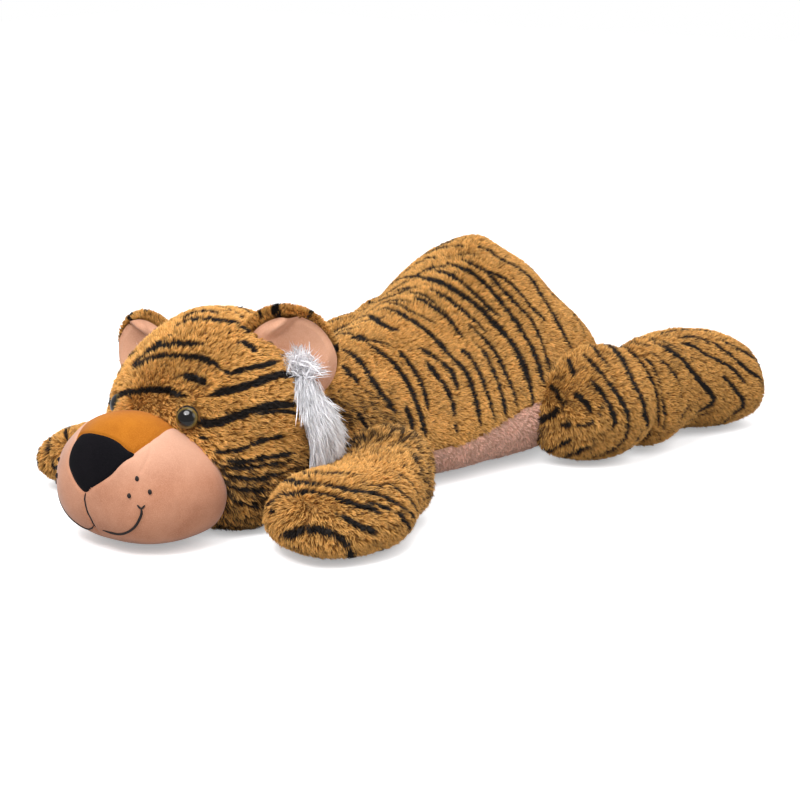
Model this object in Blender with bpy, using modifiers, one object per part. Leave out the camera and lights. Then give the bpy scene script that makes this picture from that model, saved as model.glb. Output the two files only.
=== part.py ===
"""A large plush tiger lying on its belly with its chin on the floor, legs spread out behind it.

Metres, +Z up. The toy faces -Y and its left side is +X. The origin is on the floor, under the belly.
Each stuffed piece is a fabric cover, open where it is sewn on, round its own loose stuffing.
"""
import math
from typing import NamedTuple

import bmesh
import bpy
from mathutils import Matrix, Vector

# Fabrics and clearances
FUR_FABRIC = 0.005          # long pile plush with its backing
FACE_FABRIC = 0.003         # short pile velboa with its backing
SEAM_GAP = 0.0004           # between pieces that are sewn edge to edge
SOCKET_GAP = 0.0004         # round a limb's root, where it turns in its seam
FILL_GAP = 0.0008           # between a cover and the stuffing in it
REST_CUT = 0.0005           # how deep the floor flattens what lies on it
OVERRUN = 0.060             # how far a cutting tool runs past the piece it cuts

# Body, from the neck seam to the rump
BODY_LENGTH = 0.540
BODY_HALF_WIDTH = 0.170
BODY_HEIGHT = 0.272
BODY_FRONT = -0.195         # Y of the neck end
BODY_BEND = 0.038           # how far the rump lies to the toy's left of its nose
BELLY_SEAM_HEIGHT = 0.064   # the pale belly panel reaches up to this seam
BELLY_PANEL_END = 0.270     # Y where the belly panel ends, between the hind legs

# Head, a ball that rolls in the neck seam
HEAD_CENTRE = Vector((0.0, -0.290, 0.128))
HEAD_RADIUS = 0.127
HEAD_HALF_WIDTH = 0.133
HEAD_LENGTH = 0.270
NECK_REACH = 0.045          # how far behind the head's centre its round neck part begins
NECK_OPENING_RADIUS = 0.042
NECK_OPENING_DROP = 0.046   # below the head's centre

# Muzzle, with an orange bridge and a black nose let into its velboa
MUZZLE_BACK = -0.350
MUZZLE_LENGTH = 0.150
MUZZLE_HALF_WIDTH = 0.106
MUZZLE_HEIGHT = 0.166
NOSE_HALF_WIDTH = 0.052
NOSE_TOP = 0.138
NOSE_TIP = 0.071
NOSE_DEPTH = 0.060          # how far back from the muzzle's front the nose panel reaches
BRIDGE_HALF_WIDTH = 0.055
BRIDGE_LOW = 0.116          # the bridge lies above this height

# Eye, a moulded safety eye held by a washer inside the head
EYE_AIM = Vector((0.50, -0.78, 0.34))
EYE_RADIUS = 0.0125
EYE_BULGE = 0.0080
EYE_PLATE = 0.0020
EYE_STEM_RADIUS = 0.0022
EYE_STEM_LENGTH = 0.0150
WASHER_RADIUS = 0.0095
WASHER_THICKNESS = 0.0020
WASHER_DEPTH = 0.0100       # below the plate, under the fabric

# Ear, a furry cup with a velboa lining, sewn to the head along its base
EAR_PLACE = Vector((0.108, -0.274, 0.186))
EAR_TILT = math.radians(11)  # the left ear stands this much higher round the head than the right
RIGHT_EAR_LIFT = 0.007
EAR_BASE_LINE = Vector((0.40, 0.45, -0.75))
EAR_OUTWARD = Vector((0.84, 0.14, 0.50))
EAR_HALF_WIDTH = 0.054
EAR_HEIGHT = 0.062
EAR_HALF_THICKNESS = 0.0120
EAR_DISH_RADIUS = 0.100
EAR_DISH_DEPTH = 0.0150

# Cheek tuft, a strip of long white pile below the ear
TUFT_PLACE = Vector((0.120, -0.272, 0.153))
TUFT_HALF_WIDTH = 0.024
TUFT_HALF_HEIGHT = 0.047
TUFT_THICKNESS = 0.008

# Front leg
SHOULDER = Vector((0.152, -0.158, 0.051))
SHOULDER_RADIUS = 0.056
ARM_LENGTH = 0.230
ARM_SPREAD = 0.042          # how far out the paw lies from the shoulder
ARM_HALF_WIDTH = 0.076
ARM_HEIGHT = 0.100
RIGHT_ARM_SPREAD = 0.036
RIGHT_ARM_HALF_WIDTH = 0.066
RIGHT_ARM_HEIGHT = 0.082    # this one lies flatter

# Hind leg
HIP = Vector((0.188, 0.176, 0.072))
HIP_RADIUS = 0.086
LEG_LENGTH = 0.308          # along the toy, hip to the end of the foot
LEG_SPREAD = 0.055
LEG_HALF_WIDTH = 0.064
LEG_HEIGHT = 0.144

# Tail, lying on the floor between the hind legs
TAIL_ROOT = Vector((0.0, 0.322, 0.062))
TAIL_ROOT_RADIUS = 0.034
TAIL_LENGTH = 0.210
TAIL_RADIUS = 0.024
TAIL_HEIGHT = 0.088

# Openings through which stuffing is packed, facing the body
LIMB_OPENING_share = 0.50   # of the root's radius

# How many sides round pieces have
HEAD_SIDES = 20
ROOT_SIDES = 16
TAIL_ROOT_SIDES = 12
CAVITY_SIDES = 12
SMALL_SIDES = 16
EAR_SIDES = 20
STEM_SIDES = 10
DISH_SIDES = 24

# Where the cage rings of each form lie, as shares of its length, sideways reach, half width and height:
# along, sideways, half width, bottom, top
BODY_shares = (
    (0.00, 0.0, 0.56, 0.06, 0.54),
    (0.14, 0.1, 0.80, 0.00, 0.62),
    (0.50, 0.8, 0.93, 0.00, 0.70),
    (0.70, 1.0, 1.00, 0.00, 1.13),
    (0.83, 1.0, 0.95, 0.00, 0.75),
    (0.94, 1.0, 0.80, 0.00, 0.48),
    (1.00, 1.0, 0.40, 0.08, 0.34),
)
HEAD_shares = (
    (0.01, 0.0, 0.44, 0.28, 0.72),
    (0.18, 0.0, 0.84, 0.08, 0.93),
    (0.44, 0.0, 1.00, 0.00, 1.01),
    (0.74, 0.0, 0.86, 0.01, 0.92),
    (0.97, 0.0, 0.46, 0.22, 0.62),
)
MUZZLE_shares = (
    (0.00, 0.0, 0.84, 0.05, 0.70),
    (0.36, 0.0, 1.02, 0.00, 0.93),
    (0.80, 0.0, 0.88, 0.02, 0.94),
    (1.00, 0.0, 0.42, 0.24, 0.68),
)
ARM_shares = (
    (-0.06, 0.20, 0.66, 0.04, 0.96),
    (0.28, 0.88, 0.99, 0.00, 1.01),
    (0.83, 1.00, 0.99, 0.00, 0.95),
    (1.01, 0.95, 0.44, 0.20, 0.66),
)
LEG_shares = (
    (0.00, 0.62, 0.78, 0.04, 1.02),
    (0.46, 0.50, 0.86, 0.00, 1.07),
    (0.86, 0.82, 1.00, 0.00, 0.92),
    (1.01, 0.86, 0.44, 0.20, 0.64),
)
TAIL_shares = (
    (0.08, 0.0, 0.66, 0.44, 0.92),
    (0.32, 0.0, 1.00, 0.02, 0.56),
    (0.88, 0.0, 1.00, 0.00, 0.50),
    (1.00, 0.0, 0.50, 0.10, 0.40),
)
# Where the left eye sits, as shares of the head's half width, length from behind and height
EYE_PLACE_share = Vector((0.440, 0.879, 0.588))
# The nose's outline from its tip to its top middle, as shares of its half width and height
NOSE_shares = ((0.0, 0.0), (0.42, 0.20), (0.77, 0.48), (1.0, 0.78), (0.6, 0.94), (0.0, 1.0))

# The first words of the names of all pieces that nod with the head
HEAD_PIECES = ("head", "muzzle", "nose", "left_eye", "right_eye", "left_ear", "right_ear", "left_cheek",
               "right_cheek")

# How full a form's section is above and below: 0.71 is round
UPPER_share = 0.66
LOWER_share = 0.84
HEAD_UPPER_share = 0.61
LIMB_UPPER_share = 0.58
LIMB_LOWER_share = 0.88
BODY_UPPER_share = 0.58
BODY_LOWER_share = 0.98


def clear_scene():
    """Empty the scene of objects."""
    for thing in list(bpy.data.objects):
        bpy.data.objects.remove(thing, do_unlink=True)


def collection(name):
    """A new collection in the scene."""
    group = bpy.data.collections.new(name)
    bpy.context.scene.collection.children.link(group)
    return group


clear_scene()
PARTS = collection("plush_tiger")
CUTTERS = collection("cutters")


def material(name, colour, roughness):
    """A Principled BSDF in one colour."""
    made = bpy.data.materials.new(name)
    made.use_nodes = True
    shader = made.node_tree.nodes["Principled BSDF"]
    shader.inputs["Base Color"].default_value = (*colour, 1.0)
    shader.inputs["Roughness"].default_value = roughness
    shader.inputs["Metallic"].default_value = 0.0
    made.diffuse_color = (*colour, 1.0)
    return made


FUR = material("striped_plush", (0.52, 0.27, 0.08), 0.95)
BELLY = material("belly_plush", (0.72, 0.42, 0.32), 0.95)
PEACH = material("peach_velboa", (0.80, 0.50, 0.36), 0.85)
ORANGE = material("orange_velboa", (0.70, 0.30, 0.04), 0.85)
BLACK = material("black_velboa", (0.015, 0.013, 0.015), 0.85)
WHITE = material("white_pile", (0.85, 0.84, 0.86), 0.90)
FILL = material("polyester_fill", (0.90, 0.90, 0.88), 1.0)
LENS = material("amber_lens", (0.30, 0.24, 0.08), 0.08)
PUPIL = material("black_eye_plastic", (0.01, 0.01, 0.01), 0.25)
WASHER = material("washer_plastic", (0.80, 0.80, 0.78), 0.45)


def add_object(name, mesh, surface=None):
    """Link a mesh as a piece of the toy, or as a cutter when it has no surface of its own."""
    thing = bpy.data.objects.new(name, mesh)
    if surface is None:
        CUTTERS.objects.link(thing)
        thing.hide_render = True
        thing.display_type = "WIRE"
    else:
        PARTS.objects.link(thing)
        mesh.materials.append(surface)
    return thing


def mesh_from(name, bm):
    """Turn a bmesh into a smooth shaded mesh."""
    bmesh.ops.recalc_face_normals(bm, faces=bm.faces)
    mesh = bpy.data.meshes.new(name)
    bm.to_mesh(mesh)
    bm.free()
    mesh.shade_smooth()
    return mesh


def carve(thing, cutter, how="DIFFERENCE"):
    """Cut a piece with another, join it or keep what they share."""
    step = thing.modifiers.new(f"{how.lower()}_{cutter.name}", "BOOLEAN")
    step.operation = how
    step.object = cutter
    return step


def carve_shell(thing, cutter, how="DIFFERENCE"):
    """Cut a thin hollow shell, which the exact solver loses at some of these seams."""
    carve(thing, cutter, how).solver = "MANIFOLD"


# Basic solids

def ball(name, centre, radii, surface=None, segments=24, pole="Z", half_step=False):
    """A UV sphere with its poles on the given axis, stretched to three radii."""
    bm = bmesh.new()
    bmesh.ops.create_uvsphere(bm, u_segments=segments, v_segments=segments // 2, radius=1.0)
    if half_step:
        bmesh.ops.rotate(bm, verts=bm.verts, matrix=Matrix.Rotation(math.pi / segments, 3, "Z"))
    if pole == "X":
        bmesh.ops.rotate(bm, verts=bm.verts, matrix=Matrix.Rotation(math.pi / 2, 3, "Y"))
    bmesh.ops.scale(bm, verts=bm.verts, vec=radii)
    thing = add_object(name, mesh_from(name, bm), surface)
    thing.location = centre
    return thing


def rod(name, radius, start, end, surface=None, segments=SMALL_SIDES, frame=None):
    """A cylinder between two points, in the world or in a frame of its own."""
    start, end = Vector(start), Vector(end)
    axis = end - start
    bm = bmesh.new()
    bmesh.ops.create_cone(bm, cap_ends=True, segments=segments, radius1=radius, radius2=radius, depth=axis.length)
    turn = axis.to_track_quat("Z", "Y").to_matrix().to_4x4()
    bmesh.ops.transform(bm, verts=bm.verts, matrix=Matrix.Translation((start + end) / 2) @ turn)
    thing = add_object(name, mesh_from(name, bm), surface)
    thing.data.set_sharp_from_angle(angle=math.radians(40))
    if frame is not None:
        thing.matrix_world = frame
    return thing


def block(name, low, high, surface=None, frame=None):
    """A box between two corners, in the world or in a frame of its own."""
    low, high = Vector(low), Vector(high)
    bm = bmesh.new()
    bmesh.ops.create_cube(bm, size=1.0)
    bmesh.ops.scale(bm, verts=bm.verts, vec=high - low)
    bmesh.ops.translate(bm, verts=bm.verts, vec=(low + high) / 2)
    thing = add_object(name, mesh_from(name, bm), surface)
    thing.data.set_sharp_from_angle(angle=math.radians(40))
    if frame is not None:
        thing.matrix_world = frame
    return thing


def prism(name, outline, back, front):
    """A flat outline in X and Z, drawn along Y."""
    bm = bmesh.new()
    rim = [bm.verts.new((x, back, z)) for x, z in outline]
    face = bm.faces.new(rim)
    drawn = bmesh.ops.extrude_face_region(bm, geom=[face])["geom"]
    moved = [v for v in drawn if isinstance(v, bmesh.types.BMVert)]
    bmesh.ops.translate(bm, verts=moved, vec=(0.0, front - back, 0.0))
    return add_object(name, mesh_from(name, bm))


# Stuffed forms

def ring_points(half_width, half_height, levels, upper_share, lower_share):
    """Eight cage points whose smoothed ring reaches the given half width and half height."""
    kept_share = (2 + 0.25 ** levels) / 3
    drawn_share = 1 - kept_share
    width = half_width / (kept_share + drawn_share * (upper_share + lower_share) / 2)
    top = half_height / (kept_share + drawn_share * upper_share)
    bottom = half_height / (kept_share + drawn_share * lower_share)
    right_half = [
        (0.0, -bottom),
        (lower_share * width, -lower_share * bottom),
        (width, 0.0),
        (upper_share * width, upper_share * top),
        (0.0, top),
    ]
    left_half = [(-across, up) for across, up in reversed(right_half[1:4])]
    return right_half + left_half


def limb_ring_points(half_width, half_height, levels):
    """Six cage points for a limb, which lies flat below and is nearly flat above."""
    kept_share = (2 + 0.25 ** levels) / 3
    level_share = (23 + 4 * 0.25 ** levels) / 24
    width = half_width / (kept_share + (1 - kept_share) * (LIMB_UPPER_share + LIMB_LOWER_share) / 2)
    height = half_height / level_share
    right_half = [
        (LIMB_LOWER_share * width, -height),
        (width, 0.0),
        (LIMB_UPPER_share * width, height),
    ]
    left_half = [(-across, up) for across, up in reversed(right_half)]
    return right_half + left_half


def cage(rings, make_points):
    """Loft rings of (centre, heading, half width, half height) into a closed coarse cage."""
    bm = bmesh.new()
    loops = []
    for centre, heading, half_width, half_height in rings:
        side = Vector((heading.y, -heading.x, 0.0))
        points = make_points(half_width, half_height)
        loops.append([bm.verts.new(centre + side * a + Vector((0, 0, u))) for a, u in points])
    for first, second in zip(loops, loops[1:]):
        for i in range(len(first)):
            j = (i + 1) % len(first)
            bm.faces.new((first[i], first[j], second[j], second[i]))
    bm.faces.new(loops[0])
    bm.faces.new(list(reversed(loops[-1])))
    return bm


def form_rings(shares, start, reach, half_width, height, inset):
    """Rings along a form, drawn in all round by the inset."""
    centres = [Vector((start.x + s[1] * reach.x, start.y + s[0] * reach.y, 0.0)) for s in shares]
    rings = []
    for i, (along, _, wide, low, high) in enumerate(shares):
        before, after = centres[max(i - 1, 0)], centres[min(i + 1, len(centres) - 1)]
        heading = (after - before).normalized()
        centre = centres[i] + heading * inset * (1 - 2 * along)
        bottom = low * height - REST_CUT
        centre.z = (bottom + high * height) / 2
        half_height = (high * height - bottom) / 2
        rings.append((centre, heading, wide * half_width - inset, half_height - inset))
    return rings


def smoothed(name, bm, surface, levels):
    """A cage smoothed by Subdivision Surface, its faces split alike so that nested forms stay parallel."""
    thing = add_object(name, mesh_from(name, bm), surface)
    smooth = thing.modifiers.new("smooth", "SUBSURF")
    smooth.levels = levels
    smooth.render_levels = levels
    split = thing.modifiers.new("split", "TRIANGULATE")
    split.quad_method = "FIXED"
    return thing


def form(name, rings, surface=None, levels=2, upper_share=UPPER_share, lower_share=LOWER_share):
    """A large stuffed form with rounded shoulders."""
    bm = cage(rings, lambda width, height: ring_points(width, height, levels, upper_share, lower_share))
    return smoothed(name, bm, surface, levels)


def limb_form(name, rings, surface=None, levels=2):
    """A limb or tail, flattened where it lies."""
    bm = cage(rings, lambda width, height: limb_ring_points(width, height, levels))
    return smoothed(name, bm, surface, levels)


def body_form(name, inset, surface=None, levels=2):
    reach = Vector((BODY_BEND, BODY_LENGTH, 0.0))
    rings = form_rings(BODY_shares, Vector((0.0, BODY_FRONT, 0.0)), reach, BODY_HALF_WIDTH, BODY_HEIGHT, inset)
    return form(name, rings, surface, levels, BODY_UPPER_share, BODY_LOWER_share)


def head_form(name, inset, surface=None, levels=2):
    rear = Vector((0.0, HEAD_CENTRE.y + HEAD_RADIUS, 0.0))
    reach = Vector((0.0, -HEAD_LENGTH, 0.0))
    rings = form_rings(HEAD_shares, rear, reach, HEAD_HALF_WIDTH, HEAD_CENTRE.z + HEAD_RADIUS, inset)
    return form(name, rings, surface, levels, HEAD_UPPER_share)


def muzzle_form(name, inset, surface=None, levels=2):
    back = Vector((0.0, MUZZLE_BACK, 0.0))
    reach = Vector((0.0, -MUZZLE_LENGTH, 0.0))
    rings = form_rings(MUZZLE_shares, back, reach, MUZZLE_HALF_WIDTH, MUZZLE_HEIGHT, inset)
    return form(name, rings, surface, levels)


def shoulder(side):
    return Vector((side * SHOULDER.x, SHOULDER.y, SHOULDER.z))


def hip(side):
    return Vector((BODY_BEND + side * HIP.x, HIP.y, HIP.z))


def tail_root():
    return Vector((BODY_BEND, TAIL_ROOT.y, TAIL_ROOT.z))


def arm_form(name, side, inset, surface=None, levels=2):
    left_sizes = (ARM_SPREAD, ARM_HALF_WIDTH, ARM_HEIGHT)
    right_sizes = (RIGHT_ARM_SPREAD, RIGHT_ARM_HALF_WIDTH, RIGHT_ARM_HEIGHT)
    spread, half_width, height = left_sizes if side > 0 else right_sizes
    reach = Vector((side * spread, -ARM_LENGTH, 0.0))
    rings = form_rings(ARM_shares, shoulder(side), reach, half_width, height, inset)
    return limb_form(name, rings, surface, levels)


def leg_form(name, side, inset, surface=None, levels=2):
    reach = Vector((side * LEG_SPREAD, LEG_LENGTH, 0.0))
    rings = form_rings(LEG_shares, hip(side), reach, LEG_HALF_WIDTH, LEG_HEIGHT, inset)
    return limb_form(name, rings, surface, levels)


def tail_form(name, side, inset, surface=None, levels=2):
    reach = Vector((0.0, TAIL_LENGTH, 0.0))
    rings = form_rings(TAIL_shares, tail_root(), reach, TAIL_RADIUS, TAIL_HEIGHT, inset)
    return limb_form(name, rings, surface, levels)


# Tools shared by several pieces

def socket(name, centre, radius, half_height, sides):
    """A limb's round root grown by the turning gap, with its flats outside the true round."""
    wide = (radius + SOCKET_GAP) / math.cos(math.pi / sides)
    radii = (wide, wide, half_height + SOCKET_GAP)
    return ball(name, centre, radii, segments=sides, half_step=True)


def head_round(name, inset, segments=HEAD_SIDES, grown_share=1.0):
    """The head's round part: the same round about its nodding axis, so it rolls in its seam."""
    round_radius = (HEAD_RADIUS - inset) * grown_share
    radii = (HEAD_HALF_WIDTH - inset, round_radius, round_radius)
    return ball(name, HEAD_CENTRE, radii, segments=segments, pole="X", half_step=grown_share > 1.0)


def neck_trim(name, inset):
    """What the head form must lose behind, so that only its round part faces the body."""
    wide = HEAD_HALF_WIDTH + OVERRUN
    low = (-wide, HEAD_CENTRE.y + NECK_REACH - inset, -OVERRUN)
    high = (wide, HEAD_CENTRE.y + HEAD_RADIUS + OVERRUN, HEAD_CENTRE.z + HEAD_RADIUS + OVERRUN)
    trim = block(name, low, high)
    carve(trim, head_round(f"{name}_round", inset))
    return trim


FLOOR = block("floor", (-BODY_LENGTH, -2 * BODY_LENGTH, -OVERRUN), (BODY_LENGTH, 2 * BODY_LENGTH, 0.0))
NECK_SOCKET = head_round("neck_socket", -SOCKET_GAP, grown_share=1 / math.cos(math.pi / HEAD_SIDES))


# Limbs and tail

class Root(NamedTuple):
    """The round root of a limb: where it sits, its radii, its sides and the way into the body."""
    centre: Vector
    radius: float
    half_height: float
    sides: int
    inward: Vector


def limb_solid(name, side, inset, make_form, root, surface=None, levels=1):
    """A limb as one solid: its form joined to the round root that turns in the body's seam."""
    whole = make_form(name, side, inset, surface, levels)
    radii = (root.radius - inset, root.radius - inset, root.half_height - inset)
    sides = root.sides if inset == 0.0 else CAVITY_SIDES
    carve(whole, ball(f"{name}_root", root.centre, radii, segments=sides), "UNION")
    return whole


def limb(word, side, make_form, root):
    """A cover, open towards the body, round its stuffing; returns the socket for the body."""
    cover = limb_solid(f"{word}_cover", side, 0.0, make_form, root, FUR, 2)
    cavity = limb_solid(f"{word}_cavity", side, FUR_FABRIC, make_form, root)
    limb_solid(f"{word}_stuffing", side, FUR_FABRIC + FILL_GAP, make_form, root, FILL)
    outside = root.centre + root.inward * (root.radius + OVERRUN)
    opening = rod(f"{word}_opening", root.radius * LIMB_OPENING_share, root.centre, outside)
    for cutter in (cavity, opening, FLOOR):
        carve_shell(cover, cutter)
    return socket(f"{word}_socket", root.centre, root.radius, root.half_height, root.sides)


def make_limbs():
    """Both front legs, both hind legs and the tail."""
    sockets = []
    for side, word in ((1, "left"), (-1, "right")):
        inward = Vector((-side, 0.0, 0.0))
        arm_root = Root(shoulder(side), SHOULDER_RADIUS, SHOULDER.z - REST_CUT, ROOT_SIDES, inward)
        leg_root = Root(hip(side), HIP_RADIUS, HIP.z - REST_CUT, ROOT_SIDES, inward)
        sockets.append(limb(f"{word}_arm", side, arm_form, arm_root))
        sockets.append(limb(f"{word}_leg", side, leg_form, leg_root))
    rump = Root(tail_root(), TAIL_ROOT_RADIUS, TAIL_ROOT_RADIUS, TAIL_ROOT_SIDES, Vector((0.0, -1.0, 0.0)))
    sockets.append(limb("tail", 1, tail_form, rump))
    return sockets


# Body

def make_body(sockets):
    """The striped cover, the pale belly panel sewn into it, and the stuffing."""
    cavity = body_form("body_cavity", FUR_FABRIC, levels=1)
    wide = BODY_HALF_WIDTH + BODY_BEND + OVERRUN
    panel = block("belly_panel_space", (-wide, BODY_FRONT - OVERRUN, -OVERRUN),
                  (wide, BELLY_PANEL_END, BELLY_SEAM_HEIGHT))
    seam = block("belly_seam_space", (-wide - SEAM_GAP, BODY_FRONT - OVERRUN - SEAM_GAP, -OVERRUN - SEAM_GAP),
                 (wide + SEAM_GAP, BELLY_PANEL_END + SEAM_GAP, BELLY_SEAM_HEIGHT + SEAM_GAP))
    cover = body_form("body_cover", 0.0, FUR)
    belly = body_form("belly_panel", 0.0, BELLY)
    stuffing = body_form("body_stuffing", FUR_FABRIC + FILL_GAP, FILL, 1)
    for shell in (cover, belly):
        carve_shell(shell, cavity)
    carve_shell(cover, seam)
    carve_shell(belly, panel, "INTERSECT")
    for piece in (cover, belly, stuffing):
        for cutter in (FLOOR, NECK_SOCKET, *sockets):
            carve_shell(piece, cutter)


# Head

def make_head():
    """The head's cover, with an opening into the neck, round its stuffing."""
    cover = head_form("head_cover", 0.0, FUR)
    cavity = head_form("head_cavity", FUR_FABRIC, levels=1)
    stuffing = head_form("head_stuffing", FUR_FABRIC + FILL_GAP, FILL, 1)
    carve(cover, neck_trim("neck_trim", 0.0))
    carve(cavity, neck_trim("cavity_neck_trim", FUR_FABRIC))
    carve(stuffing, neck_trim("stuffing_neck_trim", FUR_FABRIC + FILL_GAP))
    carve(cover, cavity)
    middle = HEAD_CENTRE - Vector((0.0, 0.0, NECK_OPENING_DROP))
    rear = middle + Vector((0.0, HEAD_RADIUS + OVERRUN, 0.0))
    carve(cover, rod("neck_opening", NECK_OPENING_RADIUS, middle, rear))
    carve(cover, FLOOR)
    return cover, stuffing


def muzzle_shell(name, surface):
    """The muzzle's velboa layer, open where it is sewn to the head."""
    shell = muzzle_form(name, 0.0, surface)
    for cutter in ("muzzle_cavity", "head_clearance", "floor"):
        carve_shell(shell, bpy.data.objects[cutter])
    return shell


def nose_outline(grow):
    """The nose panel seen from the front, grown by a seam gap."""
    height = NOSE_TOP - NOSE_TIP
    right = []
    for across, up in NOSE_shares:
        middle = Vector((0.0, NOSE_TIP + height / 2))
        point = Vector((across * NOSE_HALF_WIDTH, NOSE_TIP + up * height))
        right.append(point + (point - middle).normalized() * grow)
    return right + [Vector((-p.x, p.y)) for p in reversed(right[1:-1])]


def make_muzzle():
    """The peach muzzle, its orange bridge and black nose, and its stuffing."""
    muzzle_form("muzzle_cavity", FACE_FABRIC, levels=1)
    head_form("head_clearance", -SEAM_GAP)
    front = MUZZLE_BACK - MUZZLE_LENGTH
    nose_space = prism("nose_space", nose_outline(0.0), front + NOSE_DEPTH, front - OVERRUN)
    nose_seam = prism("nose_seam", nose_outline(SEAM_GAP), front + NOSE_DEPTH + SEAM_GAP, front - OVERRUN - SEAM_GAP)
    high = MUZZLE_HEIGHT + OVERRUN
    bridge_space = block("bridge_space", (-BRIDGE_HALF_WIDTH, front - OVERRUN, BRIDGE_LOW),
                         (BRIDGE_HALF_WIDTH, MUZZLE_BACK, high))
    wide = BRIDGE_HALF_WIDTH + SEAM_GAP
    bridge_seam = block("bridge_seam", (-wide, front - OVERRUN - SEAM_GAP, BRIDGE_LOW - SEAM_GAP),
                        (wide, MUZZLE_BACK + SEAM_GAP, high + SEAM_GAP))
    cover = muzzle_shell("muzzle_cover", PEACH)
    carve_shell(cover, bridge_seam)
    carve_shell(cover, nose_seam)
    bridge = muzzle_shell("nose_bridge", ORANGE)
    carve_shell(bridge, bridge_space, "INTERSECT")
    carve_shell(bridge, nose_seam)
    carve_shell(muzzle_shell("nose", BLACK), nose_space, "INTERSECT")
    stuffing = muzzle_form("muzzle_stuffing", FACE_FABRIC + FILL_GAP, FILL, 1)
    carve(stuffing, bpy.data.objects["head_clearance"])
    carve(stuffing, FLOOR)


# Eyes, ears and tufts

def mirrored(vector, side):
    return Vector((side * vector.x, vector.y, vector.z))


def eye_frame(side):
    """A frame on the face with +Z looking out of the head."""
    out = mirrored(EYE_AIM, side).normalized()
    place = Vector((side * EYE_PLACE_share.x * HEAD_HALF_WIDTH,
                    HEAD_CENTRE.y + HEAD_RADIUS - EYE_PLACE_share.y * HEAD_LENGTH,
                    EYE_PLACE_share.z * (HEAD_CENTRE.z + HEAD_RADIUS)))
    return Matrix.Translation(place) @ out.to_track_quat("Z", "Y").to_matrix().to_4x4()


def make_eye(word, side, head_cover, head_stuffing):
    """A clear lens on a black plate whose stem goes through the head into a washer."""
    frame = eye_frame(side)
    lens = ball(f"{word}_eye_lens", (0, 0, 0), (EYE_RADIUS, EYE_RADIUS, EYE_BULGE), LENS, SMALL_SIDES)
    lens.matrix_world = frame @ Matrix.Translation((0.0, 0.0, EYE_PLATE + SEAM_GAP))
    under = block(f"{word}_lens_under", (-EYE_RADIUS - OVERRUN, -EYE_RADIUS - OVERRUN, -OVERRUN),
                  (EYE_RADIUS + OVERRUN, EYE_RADIUS + OVERRUN, EYE_PLATE + SEAM_GAP), frame=frame)
    carve(lens, under)
    plate = rod(f"{word}_eye_plate", EYE_RADIUS, (0, 0, 0), (0, 0, EYE_PLATE), PUPIL, frame=frame)
    stem = rod(f"{word}_eye_stem", EYE_STEM_RADIUS, (0, 0, EYE_PLATE / 2), (0, 0, -EYE_STEM_LENGTH),
               segments=STEM_SIDES, frame=frame)
    carve(plate, stem, "UNION")
    stem_hole = rod(f"{word}_stem_hole", EYE_STEM_RADIUS + SEAM_GAP, (0, 0, OVERRUN),
                    (0, 0, -EYE_STEM_LENGTH - SEAM_GAP), segments=STEM_SIDES, frame=frame)
    washer_top = -WASHER_DEPTH
    washer_low = washer_top - WASHER_THICKNESS
    washer = rod(f"{word}_eye_washer", WASHER_RADIUS, (0, 0, washer_low), (0, 0, washer_top), WASHER, frame=frame)
    carve(washer, stem_hole)
    pocket = rod(f"{word}_washer_pocket", WASHER_RADIUS + FILL_GAP, (0, 0, washer_low - FILL_GAP),
                 (0, 0, OVERRUN), frame=frame)
    seat = rod(f"{word}_plate_seat", EYE_RADIUS + SEAM_GAP, (0, 0, -SEAM_GAP), (0, 0, OVERRUN), frame=frame)
    carve(head_cover, stem_hole)
    carve(head_cover, seat)
    carve(head_stuffing, stem_hole)
    carve(head_stuffing, pocket)


def ear_frame(side):
    """A frame at the ear's base: X along it, Y to the back of the ear, Z out of the head."""
    outward = mirrored(EAR_OUTWARD, side).normalized()
    along = side * mirrored(EAR_BASE_LINE, side)
    along = (along - along.dot(outward) * outward).normalized()
    back = outward.cross(along)
    turn = Matrix((along, back, outward)).transposed().to_4x4()
    lift = Vector((0.0, 0.0, RIGHT_EAR_LIFT if side < 0 else 0.0))
    placed = Matrix.Translation(mirrored(EAR_PLACE, side) + lift - HEAD_CENTRE) @ turn
    return Matrix.Translation(HEAD_CENTRE) @ Matrix.Rotation(-EAR_TILT, 4, "Y") @ placed


def ear_blank(name, frame, surface):
    """The ear's flattened oval, cut to the head's round along its base."""
    radii = (EAR_HALF_WIDTH, EAR_HALF_THICKNESS, EAR_HEIGHT)
    blank = ball(name, (0, 0, 0), radii, surface, EAR_SIDES)
    blank.matrix_world = frame
    carve(blank, bpy.data.objects["head_clearance"])
    return blank


def make_ear(word, side):
    """A dished furry ear with a velboa lining in its dish."""
    frame = ear_frame(side)
    ahead = EAR_HALF_THICKNESS - EAR_DISH_DEPTH + EAR_DISH_RADIUS
    dish_place = frame @ Matrix.Translation((0.0, -ahead, EAR_HEIGHT / 2))
    dishes = {}
    for label, radius in (("face", EAR_DISH_RADIUS), ("back", EAR_DISH_RADIUS + FACE_FABRIC),
                          ("seam", EAR_DISH_RADIUS + FACE_FABRIC + SEAM_GAP)):
        dish = ball(f"{word}_ear_dish_{label}", (0, 0, 0), (radius, radius, radius), segments=DISH_SIDES)
        dish.matrix_world = dish_place
        dishes[label] = dish
    cover = ear_blank(f"{word}_ear_cover", frame, FUR)
    carve(cover, dishes["seam"])
    lining = ear_blank(f"{word}_ear_lining", frame, PEACH)
    carve(lining, dishes["back"], "INTERSECT")
    carve(lining, dishes["face"])


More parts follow.
